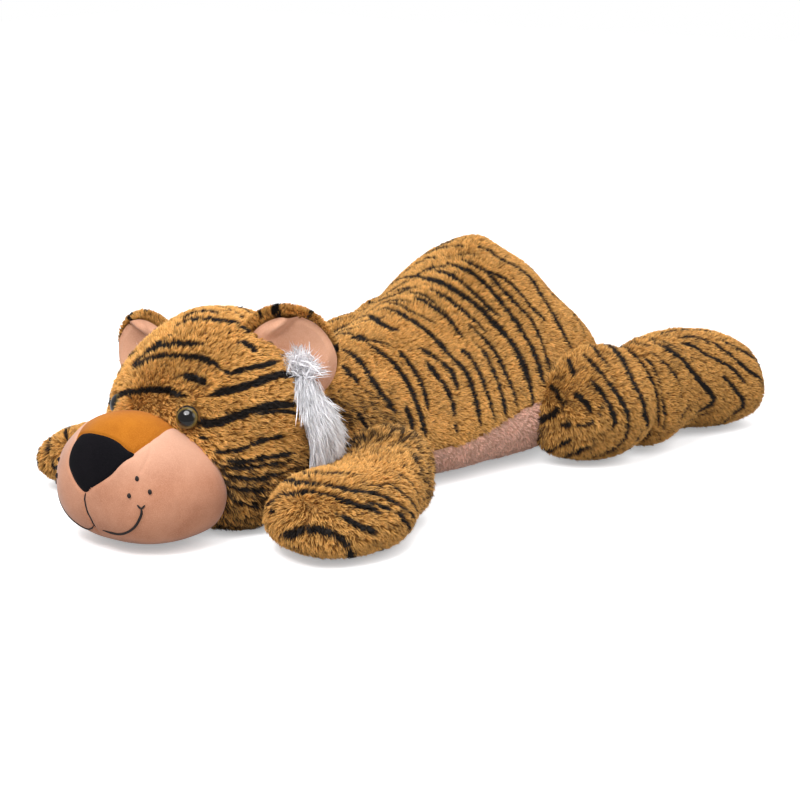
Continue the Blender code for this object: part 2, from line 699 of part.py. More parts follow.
def make_tuft(word, side):
    """A strip of long pile that follows the cheek and starts in front of the ear."""
    tuft = head_form(f"{word}_cheek_tuft", -TUFT_THICKNESS, WHITE)
    radii = (OVERRUN, TUFT_HALF_WIDTH, TUFT_HALF_HEIGHT)
    strip = ball(f"{word}_tuft_space", mirrored(TUFT_PLACE, side), radii, segments=SMALL_SIDES)
    carve(tuft, strip, "INTERSECT")
    wide = EAR_HALF_WIDTH + OVERRUN
    low = (-wide, -EAR_HALF_THICKNESS - SEAM_GAP, -EAR_HEIGHT - OVERRUN)
    carve(tuft, block(f"{word}_behind_ear", low, (wide, wide, EAR_HEIGHT + OVERRUN), frame=ear_frame(side)))
    carve(tuft, bpy.data.objects["head_clearance"])


def hang(pivot_name, point, first_words):
    """Parent the pieces whose names start this way to an empty on their joint's axis."""
    pivot = bpy.data.objects.new(pivot_name, None)
    PARTS.objects.link(pivot)
    pivot.location = point
    for thing in PARTS.objects:
        if thing.type == "MESH" and thing.name.startswith(first_words):
            thing.parent = pivot
            thing.matrix_parent_inverse = Matrix.Translation(-point)


def hang_moving_pieces():
    """The head nods about its centre, and each limb and the tail turn about their roots."""
    hang("head_pivot", HEAD_CENTRE, HEAD_PIECES)
    hang("tail_pivot", tail_root(), "tail")
    for side, word in ((1, "left"), (-1, "right")):
        hang(f"{word}_shoulder_pivot", shoulder(side), f"{word}_arm")
        hang(f"{word}_hip_pivot", hip(side), f"{word}_leg")


def build():
    """Make every piece of the toy."""
    make_body(make_limbs())
    head_cover, head_stuffing = make_head()
    make_muzzle()
    for side, word in ((1, "left"), (-1, "right")):
        make_eye(word, side, head_cover, head_stuffing)
        make_ear(word, side)
        make_tuft(word, side)
    hang_moving_pieces()


build()
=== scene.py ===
"""A large plush tiger lying on its belly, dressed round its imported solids.

Metres, +Z up. The toy faces -Y and its left side is +X. Each stuffed piece is a smooth skin with pile
standing on it. Stripes are paths in space that darken the pile near them.
"""

import math

import bmesh
import bpy
import numpy as np
from mathutils import Matrix, Vector
from mathutils.bvhtree import BVHTree
from mathutils.kdtree import KDTree


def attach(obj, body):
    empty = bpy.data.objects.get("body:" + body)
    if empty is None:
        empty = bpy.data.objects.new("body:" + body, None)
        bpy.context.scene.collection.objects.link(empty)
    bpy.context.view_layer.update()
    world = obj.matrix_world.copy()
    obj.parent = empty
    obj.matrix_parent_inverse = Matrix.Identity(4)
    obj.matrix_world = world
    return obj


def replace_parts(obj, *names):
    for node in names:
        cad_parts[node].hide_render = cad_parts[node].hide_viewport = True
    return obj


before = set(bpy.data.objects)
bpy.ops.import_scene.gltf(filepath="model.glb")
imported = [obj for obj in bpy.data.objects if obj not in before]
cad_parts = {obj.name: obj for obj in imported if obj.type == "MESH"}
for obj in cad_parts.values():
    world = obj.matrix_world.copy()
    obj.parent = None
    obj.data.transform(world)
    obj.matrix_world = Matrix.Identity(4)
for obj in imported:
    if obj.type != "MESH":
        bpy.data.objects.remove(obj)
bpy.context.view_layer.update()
MM = 0.001

# The forms, as the solids have them
REST_CUT = 0.0005
BODY_LENGTH = 0.540
BODY_HALF_WIDTH = 0.170
BODY_HEIGHT = 0.272
BODY_FRONT = -0.195
BODY_BEND = 0.038
BELLY_PANEL_END = 0.270
HEAD_CENTRE = Vector((0.0, -0.290, 0.128))
HEAD_RADIUS = 0.127
HEAD_HALF_WIDTH = 0.133
HEAD_LENGTH = 0.270
MUZZLE_BACK = -0.350
MUZZLE_LENGTH = 0.150
MUZZLE_HALF_WIDTH = 0.106
MUZZLE_HEIGHT = 0.166
EYE_AIM = Vector((0.50, -0.78, 0.34))
EYE_RADIUS = 0.0125
EYE_BULGE = 0.0080
EYE_PLATE = 0.0020
EYE_PLACE_share = Vector((0.440, 0.879, 0.588))
# painted shadow: where the dark patch above each eye sits, off the eye's place
PAINTED_BROW_SHADOW_OFFSET = Vector((-0.006, -0.004, 0.018))
RIGHT_EYE_SINK = 0.0060     # this eye is pulled deeper into the fur
EYE_DROP = 0.0022
EAR_PLACE = Vector((0.108, -0.274, 0.186))
EAR_TILT = math.radians(11)
RIGHT_EAR_LIFT = 0.007
EAR_BASE_LINE = Vector((0.40, 0.45, -0.75))
EAR_OUTWARD = Vector((0.84, 0.14, 0.50))
EAR_HALF_WIDTH = 0.054
EAR_HEIGHT = 0.062
EAR_HALF_THICKNESS = 0.0120
EAR_DISH_RADIUS = 0.100
EAR_DISH_DEPTH = 0.0150
EAR_INSET = 0.0030
EAR_GROWTH_share = {1: 1.06, -1: 1.0}     # the soft ear is fuller than its solid
EAR_MIDDLE_share = 0.05
EAR_WIDE_share = 1.06
EAR_TURN = {1: math.radians(-4.0), -1: math.radians(26.0)}
EAR_LEAN = {1: 0.0, -1: math.radians(5.0)}
EAR_FOLD = 0.024            # a crease runs up the lining here
LINING_MIDDLE_share, LINING_WIDE_share, LINING_HIGH_share = 0.19, 0.98, 0.93
EAR_SEAM = 0.00002          # points this close together are one
EAR_MARKS = ((14, 2.5), (34, 4.5), (75, 2.2), (127, 5.5), (157, 2.5))      # degrees, half width in mm
EAR_STRANDS = 15000
SHOULDER = Vector((0.152, -0.158, 0.051))
SHOULDER_RADIUS = 0.056
ARM_LENGTH = 0.230
ARM_SPREAD = 0.042
ARM_HALF_WIDTH = 0.076
ARM_HEIGHT = 0.100
RIGHT_ARM_SPREAD = 0.036
RIGHT_ARM_HALF_WIDTH = 0.066
RIGHT_ARM_HEIGHT = 0.082
HIP = Vector((0.188, 0.176, 0.072))
HIP_RADIUS = 0.086
LEG_LENGTH = 0.308
LEG_SPREAD = 0.055
LEG_HALF_WIDTH = 0.064
LEG_HEIGHT = 0.144
TAIL_ROOT = Vector((BODY_BEND, 0.322, 0.062))
TAIL_ROOT_RADIUS = 0.034
TAIL_LENGTH = 0.210
TAIL_RADIUS = 0.024
TAIL_HEIGHT = 0.088

# Cage rings: along, sideways, half width, bottom, top
BODY_shares = (
    (0.00, 0.0, 0.56, 0.06, 0.54),
    (0.14, 0.1, 0.80, 0.00, 0.62),
    (0.50, 0.8, 0.93, 0.00, 0.70),
    (0.70, 1.0, 1.00, 0.00, 1.13),
    (0.83, 1.0, 0.95, 0.00, 0.75),
    (0.94, 1.0, 0.80, 0.00, 0.48),
    (1.00, 1.0, 0.40, 0.08, 0.34),
)
HEAD_shares = (
    (0.01, 0.0, 0.44, 0.28, 0.72),
    (0.18, 0.0, 0.84, 0.08, 0.93),
    (0.44, 0.0, 1.00, 0.00, 1.01),
    (0.74, 0.0, 0.86, 0.01, 0.92),
    (0.97, 0.0, 0.46, 0.22, 0.62),
)
MUZZLE_shares = (
    (0.00, 0.0, 0.84, 0.05, 0.70),
    (0.36, 0.0, 1.02, 0.00, 0.93),
    (0.80, 0.0, 0.88, 0.02, 0.94),
    (1.00, 0.0, 0.42, 0.24, 0.68),
)
ARM_shares = (
    (-0.06, 0.20, 0.66, 0.04, 0.96),
    (0.28, 0.88, 0.99, 0.00, 1.01),
    (0.83, 1.00, 0.99, 0.00, 0.95),
    (1.01, 0.95, 0.44, 0.20, 0.66),
)
LEG_shares = (
    (0.00, 0.62, 0.78, 0.04, 1.02),
    (0.46, 0.50, 0.86, 0.00, 1.07),
    (0.86, 0.82, 1.00, 0.00, 0.92),
    (1.01, 0.86, 0.44, 0.20, 0.64),
)
TAIL_shares = (
    (0.08, 0.0, 0.66, 0.44, 0.92),
    (0.32, 0.0, 1.00, 0.02, 0.56),
    (0.88, 0.0, 1.00, 0.00, 0.50),
    (1.00, 0.0, 0.50, 0.10, 0.40),
)

# How full a section is above and below
BODY_FULL_share = (0.58, 0.98)
HEAD_FULL_share = (0.61, 0.84)
MUZZLE_FULL_share = (0.66, 0.84)
LIMB_FULL_share = (0.58, 0.88)

SEAM_COURSE = ((-0.03, 0.07, 0.165), (0.055, 0.084, 0.098))     # y, height of the belly panel's seam
SKIN_INSET = 0.004          # how far the skins lie inside the solids, where the pile stands
SMOOTH_LEVELS = 4


# Node helpers

class Nodes:
    """A material's node tree with short ways to add and join nodes."""

    def __init__(self, name):
        self.material = bpy.data.materials.new(name)
        self.material.use_nodes = True
        self.tree = self.material.node_tree
        self.shader = self.tree.nodes["Principled BSDF"]
        self.output = self.tree.nodes["Material Output"]

    def add(self, kind, **settings):
        node = self.tree.nodes.new(kind)
        for key, value in settings.items():
            setattr(node, key, value)
        return node

    def join(self, source, target):
        self.tree.links.new(source, target)
        return target

    def put(self, socket, value):
        """Set a socket to a value, or join it to another socket."""
        if isinstance(value, bpy.types.NodeSocket):
            self.join(value, socket)
        elif isinstance(value, tuple) and len(value) == 3 and socket.type == "RGBA":
            socket.default_value = (*value, 1.0)
        else:
            socket.default_value = value

    def attribute(self, name):
        return self.add("ShaderNodeAttribute", attribute_name=name).outputs["Fac"]

    def place(self):
        return self.add("ShaderNodeTexCoord").outputs["Object"]

    def noise(self, scale, detail=2.0, rough=0.5, vector=None):
        node = self.add("ShaderNodeTexNoise")
        node.inputs["Scale"].default_value = scale
        node.inputs["Detail"].default_value = detail
        node.inputs["Roughness"].default_value = rough
        self.join(vector if vector is not None else self.place(), node.inputs["Vector"])
        return node.outputs["Fac"]

    def math(self, operation, first, second=0.0, clamp=False):
        node = self.add("ShaderNodeMath", operation=operation, use_clamp=clamp)
        self.put(node.inputs[0], first)
        self.put(node.inputs[1], second)
        return node.outputs[0]

    def spread(self, value, low, high, out_low=0.0, out_high=1.0):
        node = self.add("ShaderNodeMapRange")
        for socket, number in zip(node.inputs[:5], (value, low, high, out_low, out_high)):
            self.put(socket, number)
        return node.outputs[0]

    def mix(self, factor, first, second, blend="MIX"):
        node = self.add("ShaderNodeMix", data_type="RGBA", blend_type=blend)
        self.put(node.inputs["Factor"], factor)
        self.put(node.inputs[6], first)
        self.put(node.inputs[7], second)
        return node.outputs[2]

    def ramp(self, value, stops):
        node = self.add("ShaderNodeValToRGB")
        marks = node.color_ramp.elements
        while len(marks) < len(stops):
            marks.new(0.5)
        for mark, (place, colour) in zip(marks, stops):
            mark.position = place
            mark.color = (*colour, 1.0)
        self.put(node.inputs["Fac"], value)
        return node.outputs["Color"]

    def bump(self, height, strength, distance):
        node = self.add("ShaderNodeBump")
        node.inputs["Strength"].default_value = strength
        node.inputs["Distance"].default_value = distance
        self.join(height, node.inputs["Height"])
        self.join(node.outputs["Normal"], self.shader.inputs["Normal"])

    def finish(self, colour, roughness, **sockets):
        self.put(self.shader.inputs["Base Color"], colour)
        self.put(self.shader.inputs["Roughness"], roughness)
        for key, value in sockets.items():
            self.put(self.shader.inputs[key.replace("_", " ")], value)
        return self.material


# Materials

BLACK_PILE = (0.0110, 0.0070, 0.0050)
TONE_RANGE = (0.66, 1.36)       # how dark and how light a strand can be, times its colour
# Painted light: the colour that the muzzle's velboa is painted towards near its top, where the light falls
PAINTED_LIGHT_COLOUR = (0.80, 0.50, 0.37)
PAINTED_LIGHT_HEIGHTS = (0.085, 0.155)   # the muzzle's velboa is painted paler between these heights, painted light on its lit top
PAINTED_LIGHT_MOST = 0.75


def pile_material(name, stops, dark_tone, dark=BLACK_PILE):
    """Pile that is darker at its roots, varies from tuft to tuft and turns black along the stripes."""
    n = Nodes(name)
    colour = n.ramp(n.attribute("along"), stops)
    shade = n.spread(n.attribute("tone"), 0.0, 1.0, *TONE_RANGE)
    toned = n.mix(1.0, colour, shade, "MULTIPLY")
    rooted = n.spread(n.attribute("along"), 0.3, 1.0, 1.0, 0.15)
    # murk darkens the roots: mottled dark pile, and above the eyes painted shadow
    murky = n.mix(n.math("MULTIPLY", n.attribute("murk"), rooted), toned, dark_tone)
    striped = n.mix(n.attribute("stripe"), murky, dark)
    return n.finish(striped, 0.62, Specular_IOR_Level=0.25)


TAN_STOPS = (
    (0.0, (0.170, 0.070, 0.012)),
    (0.35, (0.450, 0.205, 0.042)),
    (0.75, (0.720, 0.370, 0.095)),
    (1.0, (0.860, 0.490, 0.170)),
)
WHITE_STOPS = ((0.0, (0.84, 0.82, 0.87)), (0.5, (0.94, 0.93, 0.96)), (1.0, (0.97, 0.97, 0.99)))
PEACH_STOPS = ((0.0, (0.56, 0.32, 0.22)), (0.5, (0.76, 0.45, 0.34)), (1.0, (0.84, 0.53, 0.42)))
STRIPED = pile_material("striped_pile", TAN_STOPS, (0.050, 0.026, 0.009))
WHITE = pile_material("white_pile", WHITE_STOPS, (0.5, 0.48, 0.5))
BELLY = pile_material("belly_pile", PEACH_STOPS, (0.35, 0.19, 0.14))


def velboa(name, colour, shadow, light, blotch_scale, sheen=0.30, painted_light_above=False):
    """Short velvety pile: brushed blotches, a fine nap and a soft sheen, and, where asked, painted light that
    makes it paler towards its top.
    """
    n = Nodes(name)
    place = n.place()
    blotch = n.spread(n.noise(blotch_scale, 4.0, 0.6, place), 0.35, 0.68)
    nap = n.noise(900.0, 2.0, 0.6, place)
    brushed = n.mix(blotch, shadow, colour)
    lit = n.mix(n.spread(nap, 0.4, 0.75, 0.0, 0.5), brushed, light)
    # painted light: paler towards the top, where the light falls
    if painted_light_above:
        parts = n.add("ShaderNodeSeparateXYZ")
        n.join(place, parts.inputs[0])
        lit = n.mix(n.spread(parts.outputs["Z"], *PAINTED_LIGHT_HEIGHTS, 0.0, PAINTED_LIGHT_MOST), lit, PAINTED_LIGHT_COLOUR)
    n.bump(n.math("ADD", nap, n.math("MULTIPLY", n.noise(60.0, 3.0, 0.6, place), 0.6)), 0.25, 0.0006)
    return n.finish(lit, 0.85, Specular_IOR_Level=0.10, Sheen_Weight=sheen, Sheen_Roughness=0.4)


PEACH = velboa("peach_velboa", (0.630, 0.295, 0.178), (0.480, 0.195, 0.106), (0.750, 0.415, 0.280), 20.0,
               painted_light_above=True)
ORANGE = velboa("orange_velboa", (0.500, 0.168, 0.012), (0.350, 0.100, 0.006), (0.620, 0.240, 0.028), 14.0,
                0.15)
BLACK = velboa("black_velboa", (0.0045, 0.0035, 0.0055), (0.002, 0.002, 0.003), (0.012, 0.010, 0.014), 14.0,
               0.03)
LINING = velboa("lining_velboa", (0.74, 0.39, 0.245), (0.60, 0.28, 0.165), (0.86, 0.53, 0.38), 16.0)


def plain(name, colour, roughness, **sockets):
    """A plastic or thread with slight unevenness of tone and surface."""
    n = Nodes(name)
    place = n.place()
    uneven = n.spread(n.noise(240.0, 3.0, 0.6, place), 0.3, 0.7)
    darker = tuple(channel * 0.8 for channel in colour)
    n.bump(n.noise(700.0, 2.0, 0.5, place), 0.05, 0.0002)
    return n.finish(n.mix(uneven, darker, colour), roughness, **sockets)


THREAD = plain("dark_thread", (0.012, 0.006, 0.005), 0.7)
FILL = plain("polyester_fill", (0.88, 0.88, 0.86), 0.95)
MOULDED = plain("washer_plastic", (0.80, 0.80, 0.77), 0.45)
PUPIL = plain("black_eye_plastic", (0.012, 0.011, 0.011), 0.2)


EYE_STOPS = ((0.0, (0.003, 0.003, 0.003)), (0.70, (0.004, 0.003, 0.003)), (0.78, (0.060, 0.042, 0.009)),
             (0.92, (0.190, 0.125, 0.028)), (1.0, (0.090, 0.062, 0.016)))
EYE_ROUGHNESS = 0.06


def eye_glass():
    """Black in the middle of the eye and olive amber round it, under a clear coat."""
    n = Nodes("amber_lens")
    fine = n.spread(n.noise(900.0, 3.0, 0.6), 0.3, 0.7, 0.85, 1.1)
    wobble = n.spread(n.noise(300.0, 2.0, 0.5), 0.0, 1.0, 0.97, 1.03)
    colour = n.ramp(n.math("MULTIPLY", n.attribute("across"), wobble), EYE_STOPS)
    return n.finish(colour, n.math("MULTIPLY", fine, EYE_ROUGHNESS), Coat_Weight=0.9, Coat_Roughness=0.02,
                    Specular_IOR_Level=0.1)


GLASS = eye_glass()


# Meshes

def mesh_of(bm, name):
    """A bmesh as a mesh of this name."""
    mesh = bpy.data.meshes.new(name)
    bm.to_mesh(mesh)
    bm.free()
    return mesh


def add_rows(bm, rows, flip=False):
    """Faces between closed rows of points. It gives back the rows' vertices."""
    rows = [[bm.verts.new(p) for p in row] for row in rows]
    for first, second in zip(rows, rows[1:]):
        for i in range(len(first)):
            j = (i + 1) % len(first)
            corners = (first[i], first[j], second[j], second[i])
            bm.faces.new(corners[::-1] if flip else corners)
    return rows


def applied(mesh, *steps):
    """The mesh after these modifiers."""
    thing = bpy.data.objects.new("working", mesh)
    bpy.context.scene.collection.objects.link(thing)
    for kind, settings in steps:
        step = thing.modifiers.new(kind, kind)
        for key, value in settings.items():
            setattr(step, key, value)
    graph = bpy.context.evaluated_depsgraph_get()
    made = bpy.data.meshes.new_from_object(thing.evaluated_get(graph))
    bpy.data.objects.remove(thing)
    return made


def ellipsoid(centre, radii, segments=48):
    bm = bmesh.new()
    bmesh.ops.create_uvsphere(bm, u_segments=segments, v_segments=segments // 2, radius=1.0)
    bmesh.ops.scale(bm, verts=bm.verts, vec=radii)
    bmesh.ops.translate(bm, verts=bm.verts, vec=centre)
    return mesh_of(bm, "ellipsoid")


def merged(meshes):
    bm = bmesh.new()
    for mesh in meshes:
        bm.from_mesh(mesh)
    return mesh_of(bm, "merged")


def parted(mesh, kind_of, kinds):
    """One mesh for each kind of face."""
    out = []
    for kind in kinds:
        bm = bmesh.new()
        bm.from_mesh(mesh)
        bmesh.ops.delete(bm, geom=[f for f in bm.faces if kind_of(f) != kind], context="FACES")
        out.append(mesh_of(bm, "part"))
    return out


def closed(mesh, seam=None):
    """Turn all faces outwards, after points that lie this close together have become one."""
    bm = bmesh.new()
    bm.from_mesh(mesh)
    if seam:
        bmesh.ops.remove_doubles(bm, verts=bm.verts, dist=seam)
    bmesh.ops.recalc_face_normals(bm, faces=bm.faces)
    bm.to_mesh(mesh)
    bm.free()
    mesh.update()
    return mesh


def wrapped(mesh, voxel, rounds):
    """One even skin round closed shells that overlap."""
    steps = (("REMESH", {"mode": "VOXEL", "voxel_size": voxel, "use_smooth_shade": True}),
             ("SMOOTH", {"factor": 0.5, "iterations": rounds}))
    return closed(applied(mesh, *steps))


# Forms

def ring_points(half_width, half_height, levels, upper_share, lower_share):
    """Eight cage points whose smoothed ring reaches the given half width and half height."""
    kept_share = (2 + 0.25 ** levels) / 3
    drawn_share = 1 - kept_share
    width = half_width / (kept_share + drawn_share * (upper_share + lower_share) / 2)
    top = half_height / (kept_share + drawn_share * upper_share)
    bottom = half_height / (kept_share + drawn_share * lower_share)
    right = [(0.0, -bottom), (lower_share * width, -lower_share * bottom), (width, 0.0),
             (upper_share * width, upper_share * top), (0.0, top)]
    return right + [(-across, up) for across, up in reversed(right[1:4])]


def limb_ring_points(half_width, half_height, levels, upper_share, lower_share):
    """Six cage points for a limb, which lies flat below and is nearly flat above."""
    kept_share = (2 + 0.25 ** levels) / 3
    level_share = (23 + 4 * 0.25 ** levels) / 24
    width = half_width / (kept_share + (1 - kept_share) * (upper_share + lower_share) / 2)
    height = half_height / level_share
    right = [(lower_share * width, -height), (width, 0.0), (upper_share * width, height)]
    return right + [(-across, up) for across, up in reversed(right)]


def form_rings(shares, start, reach, half_width, height, inset):
    """Rings along a form, drawn in all round by the inset."""
    centres = [Vector((start.x + s[1] * reach.x, start.y + s[0] * reach.y, 0.0)) for s in shares]
    rings = []
    for i, (along, _, wide, low, high) in enumerate(shares):
        heading = (centres[min(i + 1, len(centres) - 1)] - centres[max(i - 1, 0)]).normalized()
        centre = centres[i] + heading * inset * (1 - 2 * along)
        bottom = low * height - REST_CUT
        centre.z = (bottom + high * height) / 2
        rings.append((centre, heading, wide * half_width - inset, (high * height - bottom) / 2 - inset))
    return rings


def form(rings, points, full_share, levels=SMOOTH_LEVELS):
    """A smoothed closed form."""
    bm = bmesh.new()
    rows = []
    for centre, heading, half_width, half_height in rings:
        side = Vector((heading.y, -heading.x, 0.0))
        ring = points(half_width, half_height, levels, *full_share)
        rows.append([centre + side * a + Vector((0, 0, u)) for a, u in ring])
    rows = add_rows(bm, rows)
    bm.faces.new(rows[0])
    bm.faces.new(rows[-1][::-1])
    bmesh.ops.recalc_face_normals(bm, faces=bm.faces)
    return applied(mesh_of(bm, "cage"), ("SUBSURF", {"levels": levels, "render_levels": levels}))


def body_mesh(inset):
    reach = Vector((BODY_BEND, BODY_LENGTH, 0.0))
    rings = form_rings(BODY_shares, Vector((0, BODY_FRONT, 0)), reach, BODY_HALF_WIDTH, BODY_HEIGHT, inset)
    return form(rings, ring_points, BODY_FULL_share)


HEAD_BALL_INSET = 0.003


def head_mesh(inset):
    rear = Vector((0.0, HEAD_CENTRE.y + HEAD_RADIUS, 0.0))
    reach = Vector((0.0, -HEAD_LENGTH, 0.0))
    rings = form_rings(HEAD_shares, rear, reach, HEAD_HALF_WIDTH, HEAD_CENTRE.z + HEAD_RADIUS, inset)
    radius = HEAD_RADIUS - inset - HEAD_BALL_INSET
    round_part = ellipsoid(HEAD_CENTRE, (HEAD_HALF_WIDTH - inset - HEAD_BALL_INSET, radius, radius))
    return merged([form(rings, ring_points, HEAD_FULL_share), round_part])


def muzzle_mesh(inset, levels):
    reach = Vector((0.0, -MUZZLE_LENGTH, 0.0))
    start = Vector((0, MUZZLE_BACK, 0))
    rings = form_rings(MUZZLE_shares, start, reach, MUZZLE_HALF_WIDTH, MUZZLE_HEIGHT, inset)
    return form(rings, ring_points, MUZZLE_FULL_share, levels)


def limb_mesh(shares, root, reach, half_width, height, radius, inset):
    rings = form_rings(shares, root, reach, half_width, height, inset)
    shape = form(rings, limb_ring_points, LIMB_FULL_share)
    radii = (radius - inset, radius - inset, min(radius, root.z - REST_CUT) - inset)
    return merged([shape, ellipsoid(root, radii)])


def arm_mesh(side, inset):
    root = Vector((side * SHOULDER.x, SHOULDER.y, SHOULDER.z))
    left_sizes = (ARM_SPREAD, ARM_HALF_WIDTH, ARM_HEIGHT)
    right_sizes = (RIGHT_ARM_SPREAD, RIGHT_ARM_HALF_WIDTH, RIGHT_ARM_HEIGHT)
    spread, half_width, height = left_sizes if side > 0 else right_sizes
    reach = Vector((side * spread, -ARM_LENGTH, 0.0))
    return limb_mesh(ARM_shares, root, reach, half_width, height, SHOULDER_RADIUS, inset)


def leg_mesh(side, inset):
    root = Vector((BODY_BEND + side * HIP.x, HIP.y, HIP.z))
    reach = Vector((side * LEG_SPREAD, LEG_LENGTH, 0.0))
    return limb_mesh(LEG_shares, root, reach, LEG_HALF_WIDTH, LEG_HEIGHT, HIP_RADIUS, inset)


def tail_mesh(inset):
    reach = Vector((0.0, TAIL_LENGTH, 0.0))
    return limb_mesh(TAIL_shares, TAIL_ROOT, reach, TAIL_RADIUS, TAIL_HEIGHT, TAIL_ROOT_RADIUS, inset)


# Pieces


def piece(name, mesh, surface, body):
    """Link a mesh as a piece of the toy that rides on a body."""
    mesh.materials.clear()
    mesh.materials.append(surface)
    mesh.shade_smooth()
    thing = bpy.data.objects.new(name, mesh)
    bpy.context.scene.collection.objects.link(thing)
    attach(thing, body)
    return thing


def stuffed(name, mesh, surface, body, node):
    """A piece that stands for a stuffed solid."""
    thing = piece(name, mesh, surface, body)
    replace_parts(thing, node)


def points_of(mesh):
    co = np.empty(len(mesh.vertices) * 3)
    mesh.vertices.foreach_get("co", co)
    return co.reshape(-1, 3)


def set_points(mesh, co):
    mesh.vertices.foreach_set("co", co.ravel())
    mesh.update()


def give(mesh, name, values):
    """A number for each vertex, which materials read by its name."""
    layer = mesh.attributes.get(name) or mesh.attributes.new(name, "FLOAT", "POINT")
    layer.data.foreach_set("value", np.asarray(values, np.float32))


def triangles(mesh):
    mesh.calc_loop_triangles()
    tri = np.empty(len(mesh.loop_triangles) * 3, int)
    mesh.loop_triangles.foreach_get("vertices", tri)
    return tri.reshape(-1, 3)


def vertex_normals(mesh):
    out = np.empty(len(mesh.vertices) * 3, np.float32)
    mesh.vertex_normals.foreach_get("vector", out)
    return out.reshape(-1, 3).astype(float)


def unit(v):
    return v / np.maximum(np.linalg.norm(v, axis=-1, keepdims=True), 1e-9)


def tree_of(mesh):
    return BVHTree.FromPolygons([tuple(p) for p in points_of(mesh)], [tuple(t) for t in triangles(mesh)])


def depth_in(tree, points):
    """How deep each point lies inside a closed skin; below zero outside."""
    out = np.empty(len(points))
    for i, p in enumerate(points):
        near, normal, _, far = tree.find_nearest(p)
        inward = (near - Vector(p)).dot(normal)
        out[i] = far if inward > 0 else -far
    return out


# Smooth noise in space, the same on every run

WAVE_COUNT = 8              # in each of the three fields
WAVE_PER_LUMP = 2.2
WAVE_SPREAD = 1.6
WAVES = np.random.default_rng(11).normal(size=(3 * WAVE_COUNT, 3))
PHASES = np.random.default_rng(12).uniform(0, 2 * math.pi, 3 * WAVE_COUNT)


def waviness(points, length, which=0):
    """A smooth random field of about -1 to 1 whose lumps are about this long."""
    own = slice(which * WAVE_COUNT, (which + 1) * WAVE_COUNT)
    waves = WAVES[own] * (WAVE_PER_LUMP / length)
    return np.sin(points @ waves.T + PHASES[own]).sum(1) / math.sqrt(WAVE_COUNT * WAVE_SPREAD)


def wandering(points, length):
    """A smooth random direction at each point."""
    return np.stack([waviness(points, length, which) for which in range(3)], 1)


# Stripes

PATH_REACH = 0.012          # a stripe is looked for this far around its path
PATH_DEPTH = 0.012          # and this far through the fabric, after which it soon fades
PATH_DEPTH_COST = 4
STRIPE_BLUR = 0.0012
RAGGED = ((0.014, 1, 0.0006), (0.005, 2, 0.0004))       # a stripe's uneven edge: lump length, field, depth
TAPER_RATE = 5              # a stripe has its full width this close to its ends
TAPER_END_share = 0.45


def near_path(points, facing, corners):
    """How far each point lies from a path, along its own surface, and how far along the path that is."""
    nearest = np.full(len(points), 1.0)
    where = np.zeros(len(points))
    low, high = corners.min(0) - PATH_REACH, corners.max(0) + PATH_REACH
    close = np.nonzero(((points > low) & (points < high)).all(1))[0]
    p, n = points[close], facing[close]
    steps = len(corners) - 1
    for i, (a, b) in enumerate(zip(corners, corners[1:])):
        span = b - a
        t = np.clip((p - a) @ span / (span @ span), 0, 1)
        off = p - a - t[:, None] * span
        height = (off * n).sum(1)
        too_deep = np.maximum(np.abs(height) - PATH_DEPTH, 0) * PATH_DEPTH_COST
        far = np.linalg.norm(off - height[:, None] * n, axis=1) + too_deep
        closer = far < nearest[close]
        where[close] = np.where(closer, (i + t) / steps, where[close])
        nearest[close] = np.minimum(far, nearest[close])
    return nearest, where


def path_mask(points, facing, paths):
    """How strongly stripes cover each point."""
    strongest = np.zeros(len(points))
    ragged = sum(waviness(points, length, which) * depth for length, which, depth in RAGGED)
    for half_width, *corners in paths:
        nearest, where = near_path(points, facing, np.array(corners, float) * MM)
        taper = np.clip(np.minimum(where, 1 - where) * TAPER_RATE + TAPER_END_share, 0, 1)
        edge = half_width * MM * taper + ragged
        strongest = np.maximum(strongest, np.clip((edge - nearest) / STRIPE_BLUR + 0.5, 0, 1))
    return strongest


def mirrored_paths(paths, middle, least):
    """The same stripes on the toy's right side, as far as they lie off its middle."""
    out = []
    for half_width, *corners in paths:
        kept = [(2 * middle - x, y, z) for x, y, z in corners if x - middle > least]
        if len(kept) > 1:
            out.append((half_width, *kept))
    return out


# Pile

class Pile:
    """The settings of a fabric's pile."""

    def __init__(self, length, width, rise, spread, clump, tuft):
        self.length = length        # of a strand
        self.width = width          # of a strand at its root
        self.rise = rise            # angle above the fabric at the root, in radians
        self.spread = spread        # how far strands stray sideways, in radians
        self.clump = clump          # how far tips lean to their tuft's tip
        self.tuft = tuft            # how many strands make up a tuft


FUR = Pile(0.0095, 0.0011, 0.98, 0.42, 0.55, 14)
SMOOTH_FUR = Pile(0.0088, 0.0010, 0.92, 0.38, 0.42, 10)
SHORT = Pile(0.0055, 0.0010, 0.85, 0.50, 0.35, 12)
SHAGGY = Pile(0.0320, 0.0013, 0.50, 0.25, 0.60, 30)
BURST = Pile(0.0270, 0.0013, 0.75, 0.35, 0.75, 36)


def scattered(mesh, count, rng, keep=None):
    """Even random points on a mesh: their places and normals."""
    co, tri, normals = points_of(mesh), triangles(mesh), vertex_normals(mesh)
    if keep is not None:
        tri = tri[keep[tri].all(axis=1)]
    a, b, c = co[tri[:, 0]], co[tri[:, 1]], co[tri[:, 2]]
    area = np.linalg.norm(np.cross(b - a, c - a), axis=1)
    chosen = rng.choice(len(tri), size=count, p=area / area.sum())
    u, v = rng.random(count), rng.random(count)
    over = u + v > 1
    u, v = np.where(over, 1 - u, u), np.where(over, 1 - v, v)
    shares = np.stack([1 - u - v, u, v], 1)
    corners = tri[chosen]
    places = (co[corners] * shares[:, :, None]).sum(1)
    facing = unit((normals[corners] * shares[:, :, None]).sum(1))
    return places, facing


